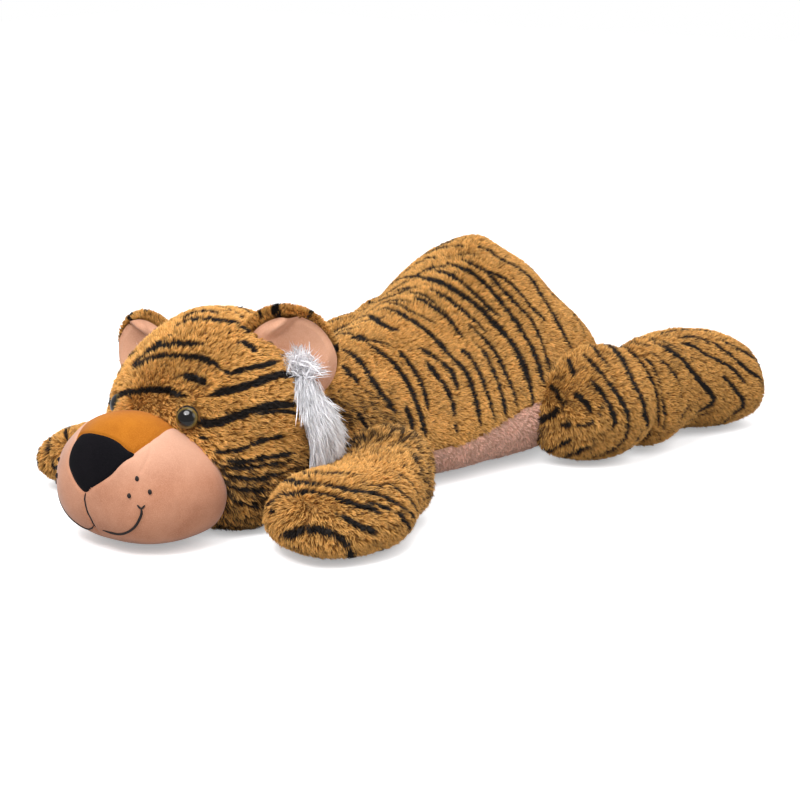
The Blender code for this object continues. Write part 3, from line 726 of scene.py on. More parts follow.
def tufts(places, rng, size):
    """The number of the tuft that each strand belongs to, and the tufts' own strands."""
    leaders = rng.choice(len(places), size=max(len(places) // size, 1), replace=False)
    tree = KDTree(len(leaders))
    for i, leader in enumerate(leaders):
        tree.insert(places[leader], i)
    tree.balance()
    belongs = np.array([tree.find(p)[1] for p in places])
    return belongs, leaders


ROOT_DEPTH = 0.0008         # strands start this far under their skin
FLOOR_GAP = 0.0004
RISE_STRAY, RISE_LEAST, RISE_MOST = 0.22, 0.1, 1.4
LENGTH_STRAY, LENGTH_LEAST, LENGTH_MOST = 0.16, 0.5, 1.5
TIP_RISE_share = 0.45       # a strand's outer half lies this much flatter
MIDDLE_PULL_share = 0.45


def grow(places, facing, comb, pile, rng, length_share):
    """Root, middle and tip of each strand, its sideways direction and its tuft's lot."""
    count = len(places)
    flat = comb - (comb * facing).sum(1, keepdims=True) * facing
    flat = unit(flat + 1e-5)
    across = np.cross(facing, flat)
    stray = rng.normal(0, pile.spread, count)[:, None]
    flat = flat * np.cos(stray) + across * np.sin(stray)
    across = np.cross(facing, flat)
    rise = np.clip(pile.rise + rng.normal(0, RISE_STRAY, count), RISE_LEAST, RISE_MOST)[:, None]
    length = pile.length * np.clip(rng.normal(1, LENGTH_STRAY, count), LENGTH_LEAST, LENGTH_MOST)[:, None]
    length = length * np.reshape(length_share, (-1, 1))
    root = places - facing * ROOT_DEPTH
    middle = root + length * 0.5 * (facing * np.sin(rise) + flat * np.cos(rise))
    low = rise * TIP_RISE_share
    tip = middle + length * 0.5 * (facing * np.sin(low) + flat * np.cos(low))
    belongs, leaders = tufts(places, rng, pile.tuft)
    target_tip, target_middle = tip[leaders][belongs], middle[leaders][belongs]
    pull = (pile.clump * rng.uniform(0.5, 1.0, count))[:, None]
    tip = tip + (target_tip - tip) * pull
    middle = middle + (target_middle - middle) * pull * MIDDLE_PULL_share
    for points in (root, middle, tip):
        points[:, 2] = np.maximum(points[:, 2], FLOOR_GAP)
    return root, middle, tip, across, rng.normal(0, 1, len(leaders))[belongs]


ROLL_STRAY = 0.5
MIDDLE_WIDTH_share = 0.85
ALONG_share = (0.0, 0.0, 0.55, 0.55, 1.0)       # how far from the root a strand's five vertices count as


def strand_mesh(name, root, middle, tip, across, width, rng):
    """Each strand as a ribbon of a quad and a triangle."""
    count = len(root)
    roll = rng.normal(0, ROLL_STRAY, count)[:, None]
    run = unit(tip - root)
    lift = np.cross(run, across)
    side = unit(across * np.cos(roll) + lift * np.sin(roll)) * width * 0.5
    higher = side * MIDDLE_WIDTH_share
    co = np.stack([root - side, root + side, middle - higher, middle + higher, tip], 1)
    base = np.arange(count)[:, None] * 5
    loops = np.concatenate([base + np.array([0, 1, 3, 2]), base + np.array([2, 3, 4])], 1).ravel()
    starts = (np.arange(count)[:, None] * 7 + np.array([0, 4])).ravel()
    mesh = bpy.data.meshes.new(name)
    mesh.vertices.add(count * 5)
    mesh.vertices.foreach_set("co", co.ravel())
    mesh.loops.add(count * 7)
    mesh.loops.foreach_set("vertex_index", loops.astype(np.int32))
    mesh.polygons.add(count * 2)
    mesh.polygons.foreach_set("loop_start", starts.astype(np.int32))
    mesh.update(calc_edges=True)
    mesh.validate()
    return mesh


MURK_SPECKS = 0.66          # how many of the strands are black where the pile is murky
MURK_WASH = 0.30            # how much darker the others are there
SPECK_STRAY, SPECK_EDGE, SPECK_MOST = 0.20, 6, 0.9
MIDDLING, HEAD_PAINTED_LIGHT_MIDDLING = 0.50, 0.62            # the usual tone, and the head's, which is lighter as painted light
STRAND_STRAY, TUFT_STRAY, PATCH_STRAY = 0.17, 0.16, 0.10
PATCH_LENGTH = 0.020


def add_pile(name, strands, pile, body, surface, rng, paths=(), murk=0.0, length_share=1.0,
             middling=MIDDLING):
    """A fabric's pile as one piece."""
    places, facing, comb = strands
    count = len(places)
    root, middle, tip, across, tuft_lot = grow(places, facing, comb, pile, rng, length_share)
    seen = middle * 0.5 + tip * 0.5
    seen = seen - ((seen - root) * facing).sum(1, keepdims=True) * facing
    stripe = path_mask(seen, facing, paths)
    lot = 0.5 + SPECK_STRAY * tuft_lot + SPECK_STRAY * rng.normal(0, 1, count)
    if paths:
        stripe = np.maximum(stripe, np.clip((MURK_SPECKS * murk - lot) * SPECK_EDGE, 0, SPECK_MOST))
        murk = murk * MURK_WASH
    mesh = strand_mesh(name, root, middle, tip, across, pile.width, rng)
    tone = middling + STRAND_STRAY * rng.normal(0, 1, count) + TUFT_STRAY * tuft_lot
    tone = np.clip(tone + PATCH_STRAY * waviness(seen, PATCH_LENGTH, 2), 0, 1)
    give(mesh, "along", np.tile(ALONG_share, count))
    for word, values in (("tone", tone), ("stripe", stripe), ("murk", np.broadcast_to(murk, count))):
        give(mesh, word, np.repeat(values, len(ALONG_share)))
    return piece(name, mesh, surface, body)


# Studio

AZIMUTH, ELEVATION = 37.7, 14.6     # degrees
DISTANCE = 2.6
LENS = 93.6
SENSOR = 36.0
AIM = Vector((0.085, -0.045, 0.10))
# Name, azimuth, elevation, distance, size, power
LIGHTS = (
    ("key", 12.0, 54.0, 2.3, 1.4, 44.0),
    ("fill", 95.0, 35.0, 3.2, 2.0, 17.0),
    ("top", 180.0, 75.0, 3.0, 2.0, 24.0),
    ("rear", 215.0, 36.0, 3.4, 2.4, 16.0),
    ("window", 8.0, 42.0, 2.4, 0.22, 3.0),
)
WORLD_GLOW = 0.42
FLOOR_SIZE = 6.0
FLOOR_COLOUR, FLOOR_COLOUR_SEEN = (0.50, 0.50, 0.50), (0.80, 0.80, 0.82)
FLOOR_GLOW = (0.7, 2.2, 0.72, 1.0)  # from this distance to that, from this glow to that
# Painted contact shadow: the floor's glow to the camera dims where ambient occlusion finds the toy this close
SHADOW_REACH = 0.020
SHADOW_SPREAD = (0.1, 0.9, 0.50, 1.0)


def aimed(name, data, azimuth, elevation, distance):
    """A camera or lamp that looks at the toy from this direction."""
    thing = bpy.data.objects.new(name, data)
    bpy.context.scene.collection.objects.link(thing)
    turn, rise = math.radians(azimuth), math.radians(elevation)
    back = Vector((math.sin(turn) * math.cos(rise), -math.cos(turn) * math.cos(rise), math.sin(rise)))
    thing.location = AIM + back * distance
    thing.rotation_mode = "QUATERNION"
    thing.rotation_quaternion = (-back).to_track_quat("-Z", "Y")
    return thing


def make_camera():
    camera = aimed("camera", bpy.data.cameras.new("camera"), AZIMUTH, ELEVATION, DISTANCE)
    camera.data.lens = LENS
    camera.data.sensor_width = SENSOR
    bpy.context.scene.camera = camera


def make_floor():
    """A wide plain floor that stays white to the camera and keeps the toy's soft shadow, with a painted
    contact shadow where ambient occlusion dims its glow next to the toy.
    """
    bm = bmesh.new()
    bmesh.ops.create_grid(bm, x_segments=2, y_segments=2, size=FLOOR_SIZE)
    mesh = mesh_of(bm, "floor")
    n = Nodes("floor_paper")
    seen = n.add("ShaderNodeLightPath").outputs["Is Camera Ray"]
    n.finish(n.mix(seen, FLOOR_COLOUR, FLOOR_COLOUR_SEEN), 0.9, Specular_IOR_Level=0.1)
    n.put(n.shader.inputs["Emission Color"], (1.0, 1.0, 1.0))
    place = n.add("ShaderNodeSeparateXYZ")
    n.join(n.place(), place.inputs[0])
    squares = [n.math("MULTIPLY", place.outputs[i], place.outputs[i]) for i in range(2)]
    far = n.math("SQRT", n.math("ADD", *squares))
    # painted shadow: ambient occlusion dims the floor's glow close to the toy
    near = n.add("ShaderNodeAmbientOcclusion")
    near.inputs["Distance"].default_value = SHADOW_REACH
    near.samples = 16
    painted_shadow_share = n.spread(near.outputs["AO"], *SHADOW_SPREAD)
    glow = n.math("MULTIPLY", n.spread(far, *FLOOR_GLOW), painted_shadow_share)
    n.put(n.shader.inputs["Emission Strength"], n.math("MULTIPLY", seen, glow))
    mesh.materials.append(n.material)
    floor = bpy.data.objects.new("floor", mesh)
    bpy.context.scene.collection.objects.link(floor)


def area_light(name, azimuth, elevation, distance, size, power):
    lamp = bpy.data.lights.new(name, "AREA")
    lamp.shape = "DISK"
    lamp.size = size
    lamp.energy = power
    aimed(name, lamp, azimuth, elevation, distance)


def make_world():
    world = bpy.data.worlds.new("studio")
    bpy.context.scene.world = world
    world.use_nodes = True
    tree = world.node_tree
    background = tree.nodes["Background"]
    background.inputs["Color"].default_value = (1.0, 1.0, 1.0, 1.0)
    path = tree.nodes.new("ShaderNodeLightPath")
    strength = tree.nodes.new("ShaderNodeMapRange")
    tree.links.new(path.outputs["Is Camera Ray"], strength.inputs["Value"])
    strength.inputs["To Min"].default_value = WORLD_GLOW
    strength.inputs["To Max"].default_value = 1.0
    tree.links.new(strength.outputs[0], background.inputs["Strength"])


def make_studio():
    bpy.context.scene.view_settings.view_transform = "Standard"
    make_camera()
    make_floor()
    make_world()
    for settings in LIGHTS:
        area_light(*settings)


# Skins and fillings

FINER_LUMP_share = 0.45
LUMP_START, LUMP_FULL = 0.004, 0.02         # the stuffing is even on the floor


def lumps(mesh, size, amount):
    """Slight unevenness of the stuffing under a skin."""
    co = points_of(mesh)
    normals = vertex_normals(mesh)
    push = (waviness(co, size, 0) + 0.5 * waviness(co, size * FINER_LUMP_share, 1)) * amount
    push *= np.clip((co[:, 2] - LUMP_START) / LUMP_FULL, 0, 1)
    set_points(mesh, co + normals * push[:, None])


# Soft places where a skin leaves its solid's form, in mm: part, place, reach, push
NUDGES = (
    ("right_arm", (-190, -400, 30), 60, (4, 24, 4)),
    ("left_arm", (215, -395, 20), 70, (4, -10, 0)),
    ("left_arm", (268, -300, 20), 60, (8, -3, 0)),
    ("left_arm", (182, -240, 95), 65, (0, 0, -17)),
    ("left_arm", (256, -277, 15), 50, (6, -8, 0)),
    ("left_arm", (238, -345, 13), 50, (5, -5, 0)),
    ("left_arm", (249, -205, 25), 45, (-15, 6, 0)),
    ("body", (78, 176, 252), 26, (0, 0, -7)),
    ("body", (45, 172, 264), 26, (0, 0, 4)),
    ("body", (150, 200, 195), 35, (-5, -3, -4)),
    ("left_leg", (205, 105, 15), 45, (-3, -10, -4)),
    ("right_arm", (-227, -345, 40), 45, (-6, -5, 3)),
    ("body", (150, 20, 25), 90, (8, -4, 0)),
    ("body", (175, 130, 25), 70, (8, -2, 0)),
    ("body", (169, 228, 156), 55, (8, 6, 0)),
    ("body", (140, -120, 72), 60, (0, 0, -8)),
    ("head", (-95, -320, 215), 75, (9, 0, -6)),
    ("head", (-40, -370, 235), 60, (2, 2, -5)),
    ("head", (30, -262, 243), 35, (0, 0, -7)),
    ("head", (75, -310, 18), 60, (10, -9, -10)),
    ("left_leg", (300, 480, 60), 70, (4, 7, 0)),
    ("left_leg", (310, 440, 15), 60, (7, 0, 0)),
    ("left_leg", (238, 207, 133), 45, (0, 0, 9)),
    ("left_leg", (290, 325, 8), 50, (-12, 0, 11)),
)


def nudge(mesh, word):
    co = points_of(mesh)
    for part, place, reach, push in NUDGES:
        if part == word:
            far = np.linalg.norm(co - np.array(place) * MM, axis=1)
            co = co + np.exp(-(far / (reach * MM)) ** 2)[:, None] * np.array(push) * MM
    co[:, 2] = np.maximum(co[:, 2], REST_CUT)
    set_points(mesh, co)


FORMS = {
    "body": body_mesh,
    "head": head_mesh,
    "left_arm": lambda inset: arm_mesh(1, inset),
    "right_arm": lambda inset: arm_mesh(-1, inset),
    "left_leg": lambda inset: leg_mesh(1, inset),
    "right_leg": lambda inset: leg_mesh(-1, inset),
    "tail": tail_mesh,
}
VOXELS = {"body": 0.0045, "head": 0.0035, "tail": 0.0025}
LIMB_VOXEL, FILLING_VOXEL = 0.003, 0.009
SKIN_ROUNDS, FILLING_ROUNDS = 6, 3          # of smoothing
SKIN_LUMPS, FILLING_LUMPS = (0.060, 0.0014), (0.030, 0.0010)        # their size and height
FILLING_INSET = 0.0115
SKINS = {}


def bare_skin(mesh, stripe, murk):
    """A skin under pile reads the pile's names, as if it were its darkest root."""
    for name, values in (("along", 0.12), ("tone", 0.5), ("stripe", stripe), ("murk", murk)):
        give(mesh, name, np.broadcast_to(values, len(mesh.vertices)))


def make_skins():
    """The closed skins of all furry pieces, as meshes."""
    for word, shape in FORMS.items():
        mesh = wrapped(shape(SKIN_INSET), VOXELS.get(word, LIMB_VOXEL), SKIN_ROUNDS)
        lumps(mesh, *SKIN_LUMPS)
        nudge(mesh, word)
        SKINS[word] = mesh


def make_fillings():
    """The loose filling inside each cover."""
    for word, shape in FORMS.items():
        mesh = wrapped(shape(FILLING_INSET), FILLING_VOXEL, FILLING_ROUNDS)
        lumps(mesh, *FILLING_LUMPS)
        nudge(mesh, word)
        stuffed(f"{word}_filling", mesh, FILL, word, f"{word}_stuffing")


# Stripes on the toy's left side: half width, then corners, in mm

BODY_PATHS = (
    (2.2, (-15, 167, 249), (11, 164, 259), (25, 182, 265), (38, 184, 266)),
    (1.8, (-27, 171, 244), (-9, 171, 252), (9, 178, 261), (25, 182, 265)),
    (1.6, (39, 139, 250), (51, 144, 252), (64, 149, 252)),
    (3.2, (58, 162, 260), (73, 168, 256), (100, 166, 244), (114, 173, 235), (132, 175, 222), (149, 170, 208),
     (171, 168, 181), (189, 167, 152), (195, 172, 138)),
    (2.0, (97, 209, 234), (117, 204, 225), (144, 200, 207), (148, 217, 190), (160, 220, 174),
     (175, 212, 163), (187, 208, 145)),
    (2.6, (48, 135, 246), (68, 134, 242), (87, 135, 235), (105, 141, 230), (122, 144, 221), (138, 144, 207),
     (150, 145, 195), (161, 148, 186), (171, 152, 176)),
    (3.2, (33, 125, 241), (53, 124, 238), (74, 123, 233), (90, 122, 225), (104, 120, 216), (129, 117, 197),
     (152, 114, 177), (174, 111, 152), (184, 110, 135), (192, 108, 116), (197, 110, 98)),
    (2.6, (84, 135, 236), (101, 133, 226), (119, 130, 214), (133, 130, 204), (144, 131, 194), (155, 134, 185),
     (165, 132, 173), (183, 127, 148), (191, 123, 131), (199, 126, 111)),
    (2.8, (23, 113, 231), (45, 109, 230), (65, 108, 225), (95, 102, 210), (121, 101, 193), (133, 102, 186)),
    (4.2, (3, 104, 221), (28, 97, 222), (50, 94, 220), (67, 92, 214), (101, 93, 200), (136, 90, 177),
     (159, 92, 156), (178, 90, 130), (186, 88, 113), (193, 85, 84)),
    (2.6, (37, 82, 214), (62, 78, 208), (81, 77, 200), (96, 75, 192), (112, 75, 184), (130, 75, 171)),
    (1.8, (4, 73, 204), (29, 70, 208), (52, 65, 203), (72, 60, 194), (87, 58, 187)),
    (3.0, (30, 60, 204), (51, 58, 200), (71, 56, 192), (89, 54, 184), (113, 46, 167)),
    (2.0, (-9, 55, 192), (21, 42, 196), (42, 35, 192), (62, 34, 187), (79, 36, 181)),
    (3.8, (11, 31, 191), (38, 24, 188), (61, 19, 182), (82, 17, 173), (116, 13, 151), (145, 13, 130),
     (158, 7, 112), (166, 2, 97), (174, -3, 73)),
    (2.8, (123, 32, 154), (134, 34, 148), (151, 29, 130), (164, 24, 113), (179, 18, 75)),
    (2.8, (131, 53, 159), (142, 55, 150), (157, 49, 132), (177, 41, 98), (183, 38, 79)),
    (2.8, (111, 65, 179), (128, 66, 167), (143, 67, 156), (155, 65, 145), (168, 62, 126), (179, 60, 108),
     (187, 58, 86)),
    (3.6, (92, -11, 159), (104, -8, 152), (118, -6, 145)),
    (3.6, (118, -6, 145), (132, -4, 134), (148, -12, 115)),
    (3.6, (107, -21, 146), (124, -26, 134), (138, -25, 121), (150, -28, 106), (159, -34, 88)),
    (2.4, (161, -37, 79), (164, -38, 67)),
    (3.4, (78, -36, 158), (91, -40, 150), (118, -48, 130), (133, -57, 114), (143, -64, 99)),
    (3.8, (44, -58, 167), (67, -58, 158), (86, -58, 148), (106, -64, 134), (122, -69, 120), (136, -74, 103),
     (147, -79, 83), (151, -80, 71)),
    (2.4, (18, -61, 170), (37, -55, 170), (51, -46, 168), (67, -38, 163)),
    (4.0, (30, -90, 163), (47, -89, 158), (66, -94, 149), (87, -103, 136), (102, -107, 124),
     (114, -105, 113), (124, -105, 102)),
    (4.0, (51, -116, 151), (65, -120, 144), (81, -122, 134)),
    (3.6, (127, -88, 107), (136, -91, 94), (143, -94, 80)),
    (2.6, (122, -124, 93), (126, -128, 82)),
    (3.0, (97, -147, 109), (108, -146, 96), (117, -145, 83)),
    (3.0, (-44, -8, 160), (-71, 47, 154), (-67, 61, 162), (-29, 38, 177)),
    (4.4, (-21, 29, 178), (22, -5, 180), (39, -10, 178), (55, -10, 175)),
    (3.6, (22, -62, 170), (24, -49, 172), (36, -51, 171)),
    (2.2, (-37, -27, 161), (-71, 46, 154), (-87, 95, 159), (-79, 104, 170)),
    (2.2, (-82, 141, 186), (-64, 139, 201), (-22, 115, 216), (10, 104, 223)),
    (3.0, (-26, 90, 200), (-9, 86, 206), (5, 84, 210)),
)
HEAD_PATHS = (
    (3.4, (-13, -340, 237), (-3, -333, 241), (12, -327, 242), (26, -319, 242), (38, -312, 241),
     (50, -303, 238)),
    (2.6, (-13, -328, 242), (-9, -316, 246), (-1, -307, 247), (11, -303, 247), (19, -301, 246)),
    (3.4, (55, -309, 235), (60, -304, 232), (66, -299, 229)),
    (3.2, (72, -323, 221), (77, -317, 218), (86, -315, 212)),
    (3.4, (-44, -383, 191), (-40, -376, 202), (-26, -373, 211), (-13, -371, 217), (2, -367, 221),
     (15, -364, 222), (28, -361, 222), (43, -355, 222)),
    (2.0, (-4, -357, 228), (-14, -363, 223), (-28, -369, 215), (-35, -373, 208)),
    (3.6, (-43, -388, 185), (-35, -384, 193), (-20, -382, 202), (-5, -381, 207), (14, -379, 210),
     (29, -374, 210), (44, -368, 210), (55, -363, 207), (64, -359, 203), (73, -358, 197)),
    (3.0, (73, -358, 197), (82, -352, 193), (88, -342, 195), (94, -328, 197), (100, -312, 198),
     (103, -293, 198)),
    (4.6, (39, -385, 192), (49, -381, 190), (58, -378, 188), (66, -376, 184)),
    (3.8, (-66, -392, 146), (-45, -400, 158), (-26, -402, 166), (-6, -404, 171), (16, -402, 174),
     (33, -398, 175), (43, -395, 172), (51, -392, 170)),
    (4.4, (74, -377, 172), (82, -366, 175), (91, -356, 177), (97, -344, 179), (103, -330, 182),
     (107, -315, 185), (110, -298, 186), (112, -280, 180)),
    (4.4, (67, -392, 142), (76, -385, 141), (86, -376, 142), (93, -367, 146), (101, -356, 150),
     (108, -342, 153), (113, -328, 155), (119, -312, 155), (122, -292, 151)),
    (2.4, (110, -339, 148), (117, -322, 149), (122, -304, 146), (123, -293, 142)),
    (2.4, (85, -387, 111), (92, -378, 109), (101, -364, 110), (109, -347, 115), (118, -323, 120),
     (122, -310, 119)),
    (2.8, (94, -376, 100), (103, -361, 96), (112, -342, 97), (118, -321, 97), (123, -294, 96)),
    (2.4, (90, -382, 95), (97, -371, 91), (107, -352, 89), (115, -331, 89), (120, -309, 87)),
    (2.6, (91, -379, 85), (99, -365, 79), (106, -350, 76), (113, -330, 75), (119, -308, 77)),
    (2.6, (92, -371, 69), (99, -357, 65), (107, -335, 59)),
    (2.6, (89, -366, 55), (93, -351, 48), (97, -336, 43)),
    (2.6, (81, -352, 34), (83, -335, 28), (75, -303, 19)),
    (2.0, (-23, -411, 144), (-2, -413, 149)),
    (1.6, (71, -394, 126), (80, -388, 125)),
)
ARM_PATHS = (
    (4.0, (145, -338, 71), (177, -351, 81), (196, -349, 83), (211, -343, 83), (227, -337, 80),
     (237, -330, 76), (245, -319, 73), (251, -304, 67), (257, -294, 59), (261, -281, 48), (249, -239, 19)),
    (4.0, (177, -368, 70), (192, -364, 74), (205, -360, 76), (221, -355, 75), (236, -349, 70),
     (246, -340, 65), (252, -333, 59), (259, -314, 49)),
    (3.0, (250, -335, 63), (255, -317, 59), (260, -302, 50), (263, -285, 37), (251, -256, 17)),
    (3.8, (240, -361, 56), (248, -353, 50), (253, -345, 43), (258, -333, 37), (259, -319, 30),
     (247, -287, 14)),
    (4.0, (191, -382, 33), (207, -383, 38), (221, -380, 42), (232, -374, 42), (241, -366, 38),
     (247, -357, 31), (248, -343, 21), (239, -329, 13)),
    (2.4, (197, -381, 29), (213, -377, 26), (226, -371, 23), (225, -349, 13)),
    (3.4, (169, -329, 86), (189, -326, 90), (203, -313, 91), (213, -305, 91), (223, -295, 87)),
    (2.6, (240, -302, 78), (244, -295, 75), (247, -287, 72)),
    (2.8, (242, -280, 77), (253, -268, 65), (259, -254, 49), (255, -236, 30)),
    (2.8, (234, -243, 84), (245, -236, 73), (251, -228, 58), (254, -227, 45)),
    (2.8, (179, -231, 95), (192, -216, 96), (209, -216, 94)),
    (2.8, (163, -375, 51), (175, -379, 52)),
)
FAR_PAW_PATHS = (
    (3.0, (-226, -334, 58), (-220, -349, 54), (-203, -360, 41), (-200, -359, 31)),
    (3.0, (-220, -312, 68), (-212, -332, 67), (-186, -351, 61)),
    (2.2, (-227, -343, 53), (-229, -353, 35), (-227, -354, 27)),
    (2.2, (-222, -285, 68), (-215, -270, 71)),
)
LEG_PATHS = (
    (3.0, (227, 158, 137), (259, 141, 126), (274, 137, 116), (286, 137, 105), (295, 139, 93), (301, 143, 80),
     (302, 146, 65), (295, 150, 45), (282, 147, 30), (269, 142, 23), (248, 139, 15)),
    (2.4, (216, 191, 137), (242, 167, 136), (259, 159, 131)),
    (4.2, (228, 205, 134), (247, 194, 134), (264, 184, 130), (279, 176, 123), (291, 169, 113),
     (300, 167, 101), (307, 169, 87), (308, 173, 71), (303, 188, 51)),
    (2.8, (235, 209, 133), (238, 233, 131), (263, 218, 131), (277, 216, 123), (287, 217, 107),
     (293, 220, 96), (297, 221, 83), (300, 221, 66), (298, 225, 43)),
    (1.8, (273, 223, 130), (287, 229, 118), (295, 229, 101), (299, 228, 84), (303, 233, 55), (300, 234, 39)),
    (1.8, (277, 235, 133), (289, 246, 124), (296, 255, 112), (302, 263, 98), (306, 268, 82), (308, 266, 69)),
    (3.0, (259, 125, 118), (270, 123, 110), (280, 124, 100), (287, 125, 88), (291, 128, 75), (292, 130, 67),
     (288, 127, 57)),
    (3.4, (246, 106, 103), (256, 107, 98), (266, 108, 91), (271, 108, 83)),
    (2.8, (213, 143, 134), (224, 132, 129), (237, 121, 121)),
    (4.0, (193, 103, 59), (212, 96, 65), (225, 94, 74), (231, 96, 83)),
    (3.0, (206, 110, 108), (221, 104, 102), (238, 97, 88)),
    (3.2, (237, 96, 62), (249, 97, 66)),
    (2.6, (188, 130, 27), (213, 113, 29), (234, 104, 39), (246, 103, 44)),
    (2.6, (195, 127, 25), (208, 132, 17), (236, 118, 24), (255, 115, 33), (266, 118, 37)),
    (1.6, (253, 99, 63), (266, 105, 65), (275, 110, 71)),
    (1.8, (290, 179, 31), (301, 173, 46), (304, 175, 52)),
    (1.8, (280, 217, 23), (290, 217, 32), (293, 214, 42)),
    (1.8, (236, 267, 139), (253, 263, 143), (266, 270, 143), (278, 276, 139), (289, 293, 128)),
    (1.8, (231, 245, 129), (247, 239, 138), (263, 238, 139), (271, 246, 139)),
    (4.2, (269, 258, 141), (280, 265, 137), (288, 272, 130), (294, 284, 120), (300, 296, 107),
     (305, 305, 95), (309, 318, 81), (312, 335, 69), (314, 343, 59), (314, 342, 50), (311, 329, 45),
     (309, 311, 39)),
    (2.8, (283, 302, 135), (288, 319, 131), (295, 330, 123), (301, 343, 114), (311, 376, 98), (316, 390, 87),
     (320, 407, 68)),
    (3.4, (313, 366, 85), (317, 376, 73), (320, 389, 60), (321, 403, 45), (319, 402, 36), (317, 388, 31)),
    (2.4, (311, 340, 34), (306, 326, 29), (304, 299, 29)),
    (1.8, (313, 384, 25), (300, 391, 13), (299, 375, 12)),
    (2.6, (293, 364, 127), (300, 375, 119), (308, 389, 109), (314, 401, 96), (317, 420, 81), (317, 446, 64),
     (314, 456, 50)),
    (2.4, (287, 393, 128), (298, 397, 121), (304, 413, 111), (307, 438, 97), (306, 460, 81), (310, 459, 71)),
    (1.8, (256, 291, 145), (260, 318, 145), (266, 344, 143), (267, 382, 136), (276, 394, 132)),
    (1.8, (276, 309, 139), (281, 336, 138), (289, 358, 131), (294, 358, 126)),
    (3.4, (309, 437, 22), (308, 428, 20)),
    (2.4, (309, 286, 61), (308, 277, 53), (307, 266, 46)),
)

BEND_MM = BODY_BEND / MM


def tail_paths():
    """Rings round the tail."""
    out = []
    for i in range(7):
        y = 0.352 + 0.026 * i
        x = TAIL_ROOT.x
        half = TAIL_RADIUS + 0.001
        ring = [(x + half * math.sin(t), y, 0.024 + half * math.cos(t)) for t in np.linspace(-2.2, 2.2, 9)]
        out.append((3.4, *[tuple(v / MM for v in corner) for corner in ring]))
    return out


HEAD_TOP_MM = 206
HEAD_TOP_share = 1.35
WIDENING_share = {"body": 1.06, "head": 1.08, "arm": 0.85, "leg": 1.12, "tail": 1.2}


def widened(paths, share, word):
    """Stripes on the head's top are seen flat from the front, so they are wider there."""
    out = []
    for half_width, *corners in paths:
        on_top = word == "head" and sum(c[2] for c in corners) / len(corners) > HEAD_TOP_MM
        out.append((half_width * share * (HEAD_TOP_share if on_top else 1.0), *corners))
    return out


PATHS = {
    "body": BODY_PATHS,
    "head": (*HEAD_PATHS, *mirrored_paths(HEAD_PATHS, 0.0, 62)),
    "left_arm": ARM_PATHS,
    "right_arm": (*mirrored_paths(ARM_PATHS, 0.0, -999), *FAR_PAW_PATHS),
    "left_leg": LEG_PATHS,
    "right_leg": mirrored_paths(LEG_PATHS, BEND_MM, -999),
    "tail": tail_paths(),
}
PATHS = {word: widened(paths, WIDENING_share[word.split("_")[-1]], word) for word, paths in PATHS.items()}


# Stripes where the photo doesn't show the toy: origin in mm, tilt towards the tail, first and last turn
# from the top, half width. The turns are to the toy's right on the body and head and inwards on the limbs.
BODY_RINGS = [((8 + 0.09 * (y + 160), y, 95), 0, -104 + 9 * math.sin(y), -4 + 5 * math.sin(2.3 * y), 2.9)
              for y in range(-150, 240, 26)]
BODY_RINGS += [((38, 205, 85), tilt, -112, 108 - 1.2 * tilt, 3.2) for tilt in (20, 33, 47, 62)]
HEAD_RINGS = [((0, -290, 128), tilt, -112, end, 3.2)
              for tilt, end in ((6, 20), (22, 46), (38, 70), (54, 92), (70, 110))]
ARM_RINGS = [((152 + 0.18 * (-158 - y), y, 48), 0, -96, -28 + 6 * math.sin(y), 2.8)
             for y in range(-370, -180, 27)]
LEG_RINGS = [((226 + 0.18 * (y - 176), y, 66), 0, -98, -22 + 7 * math.sin(y), 3.0)
             for y in range(150, 450, 29)]
LEG_RINGS += [((276, 420, 62), tilt, -100, 100, 3.0) for tilt in (52, 68)]
RINGS = {"body": BODY_RINGS, "head": HEAD_RINGS, "arm": ARM_RINGS, "leg": LEG_RINGS}


def ring_paths(word):
    """Stripes round a part: where rays from its middle leave its skin."""
    flip = -1.0 if word.startswith("right") else 1.0
    middle = BODY_BEND if word.endswith("leg") and flip < 0 else 0.0
    out = []
    for number, (origin, tilt, first, last, half_width) in enumerate(RINGS.get(word.split("_")[-1], ())):
        start = Vector(origin) * MM
        start.x = 2 * middle + flip * start.x
        corners = []
        for step, degrees in enumerate(np.linspace(first, last, 12)):
            turn = math.radians(degrees)
            lean = math.radians(tilt + 4.0 * math.sin(0.9 * step + 1.7 * number))
            across, up = flip * math.sin(turn) * math.cos(lean), math.cos(turn) * math.cos(lean)
            way = Vector((across, math.sin(lean), up))
            hit = TREES[word].ray_cast(start, way)[0]
            if hit is not None and hit.z > 0.008:
                corners.append(tuple(hit / MM))
        if len(corners) > 2:
            out.append((half_width + 0.7 * math.sin(2.1 * number), *corners))
    return out


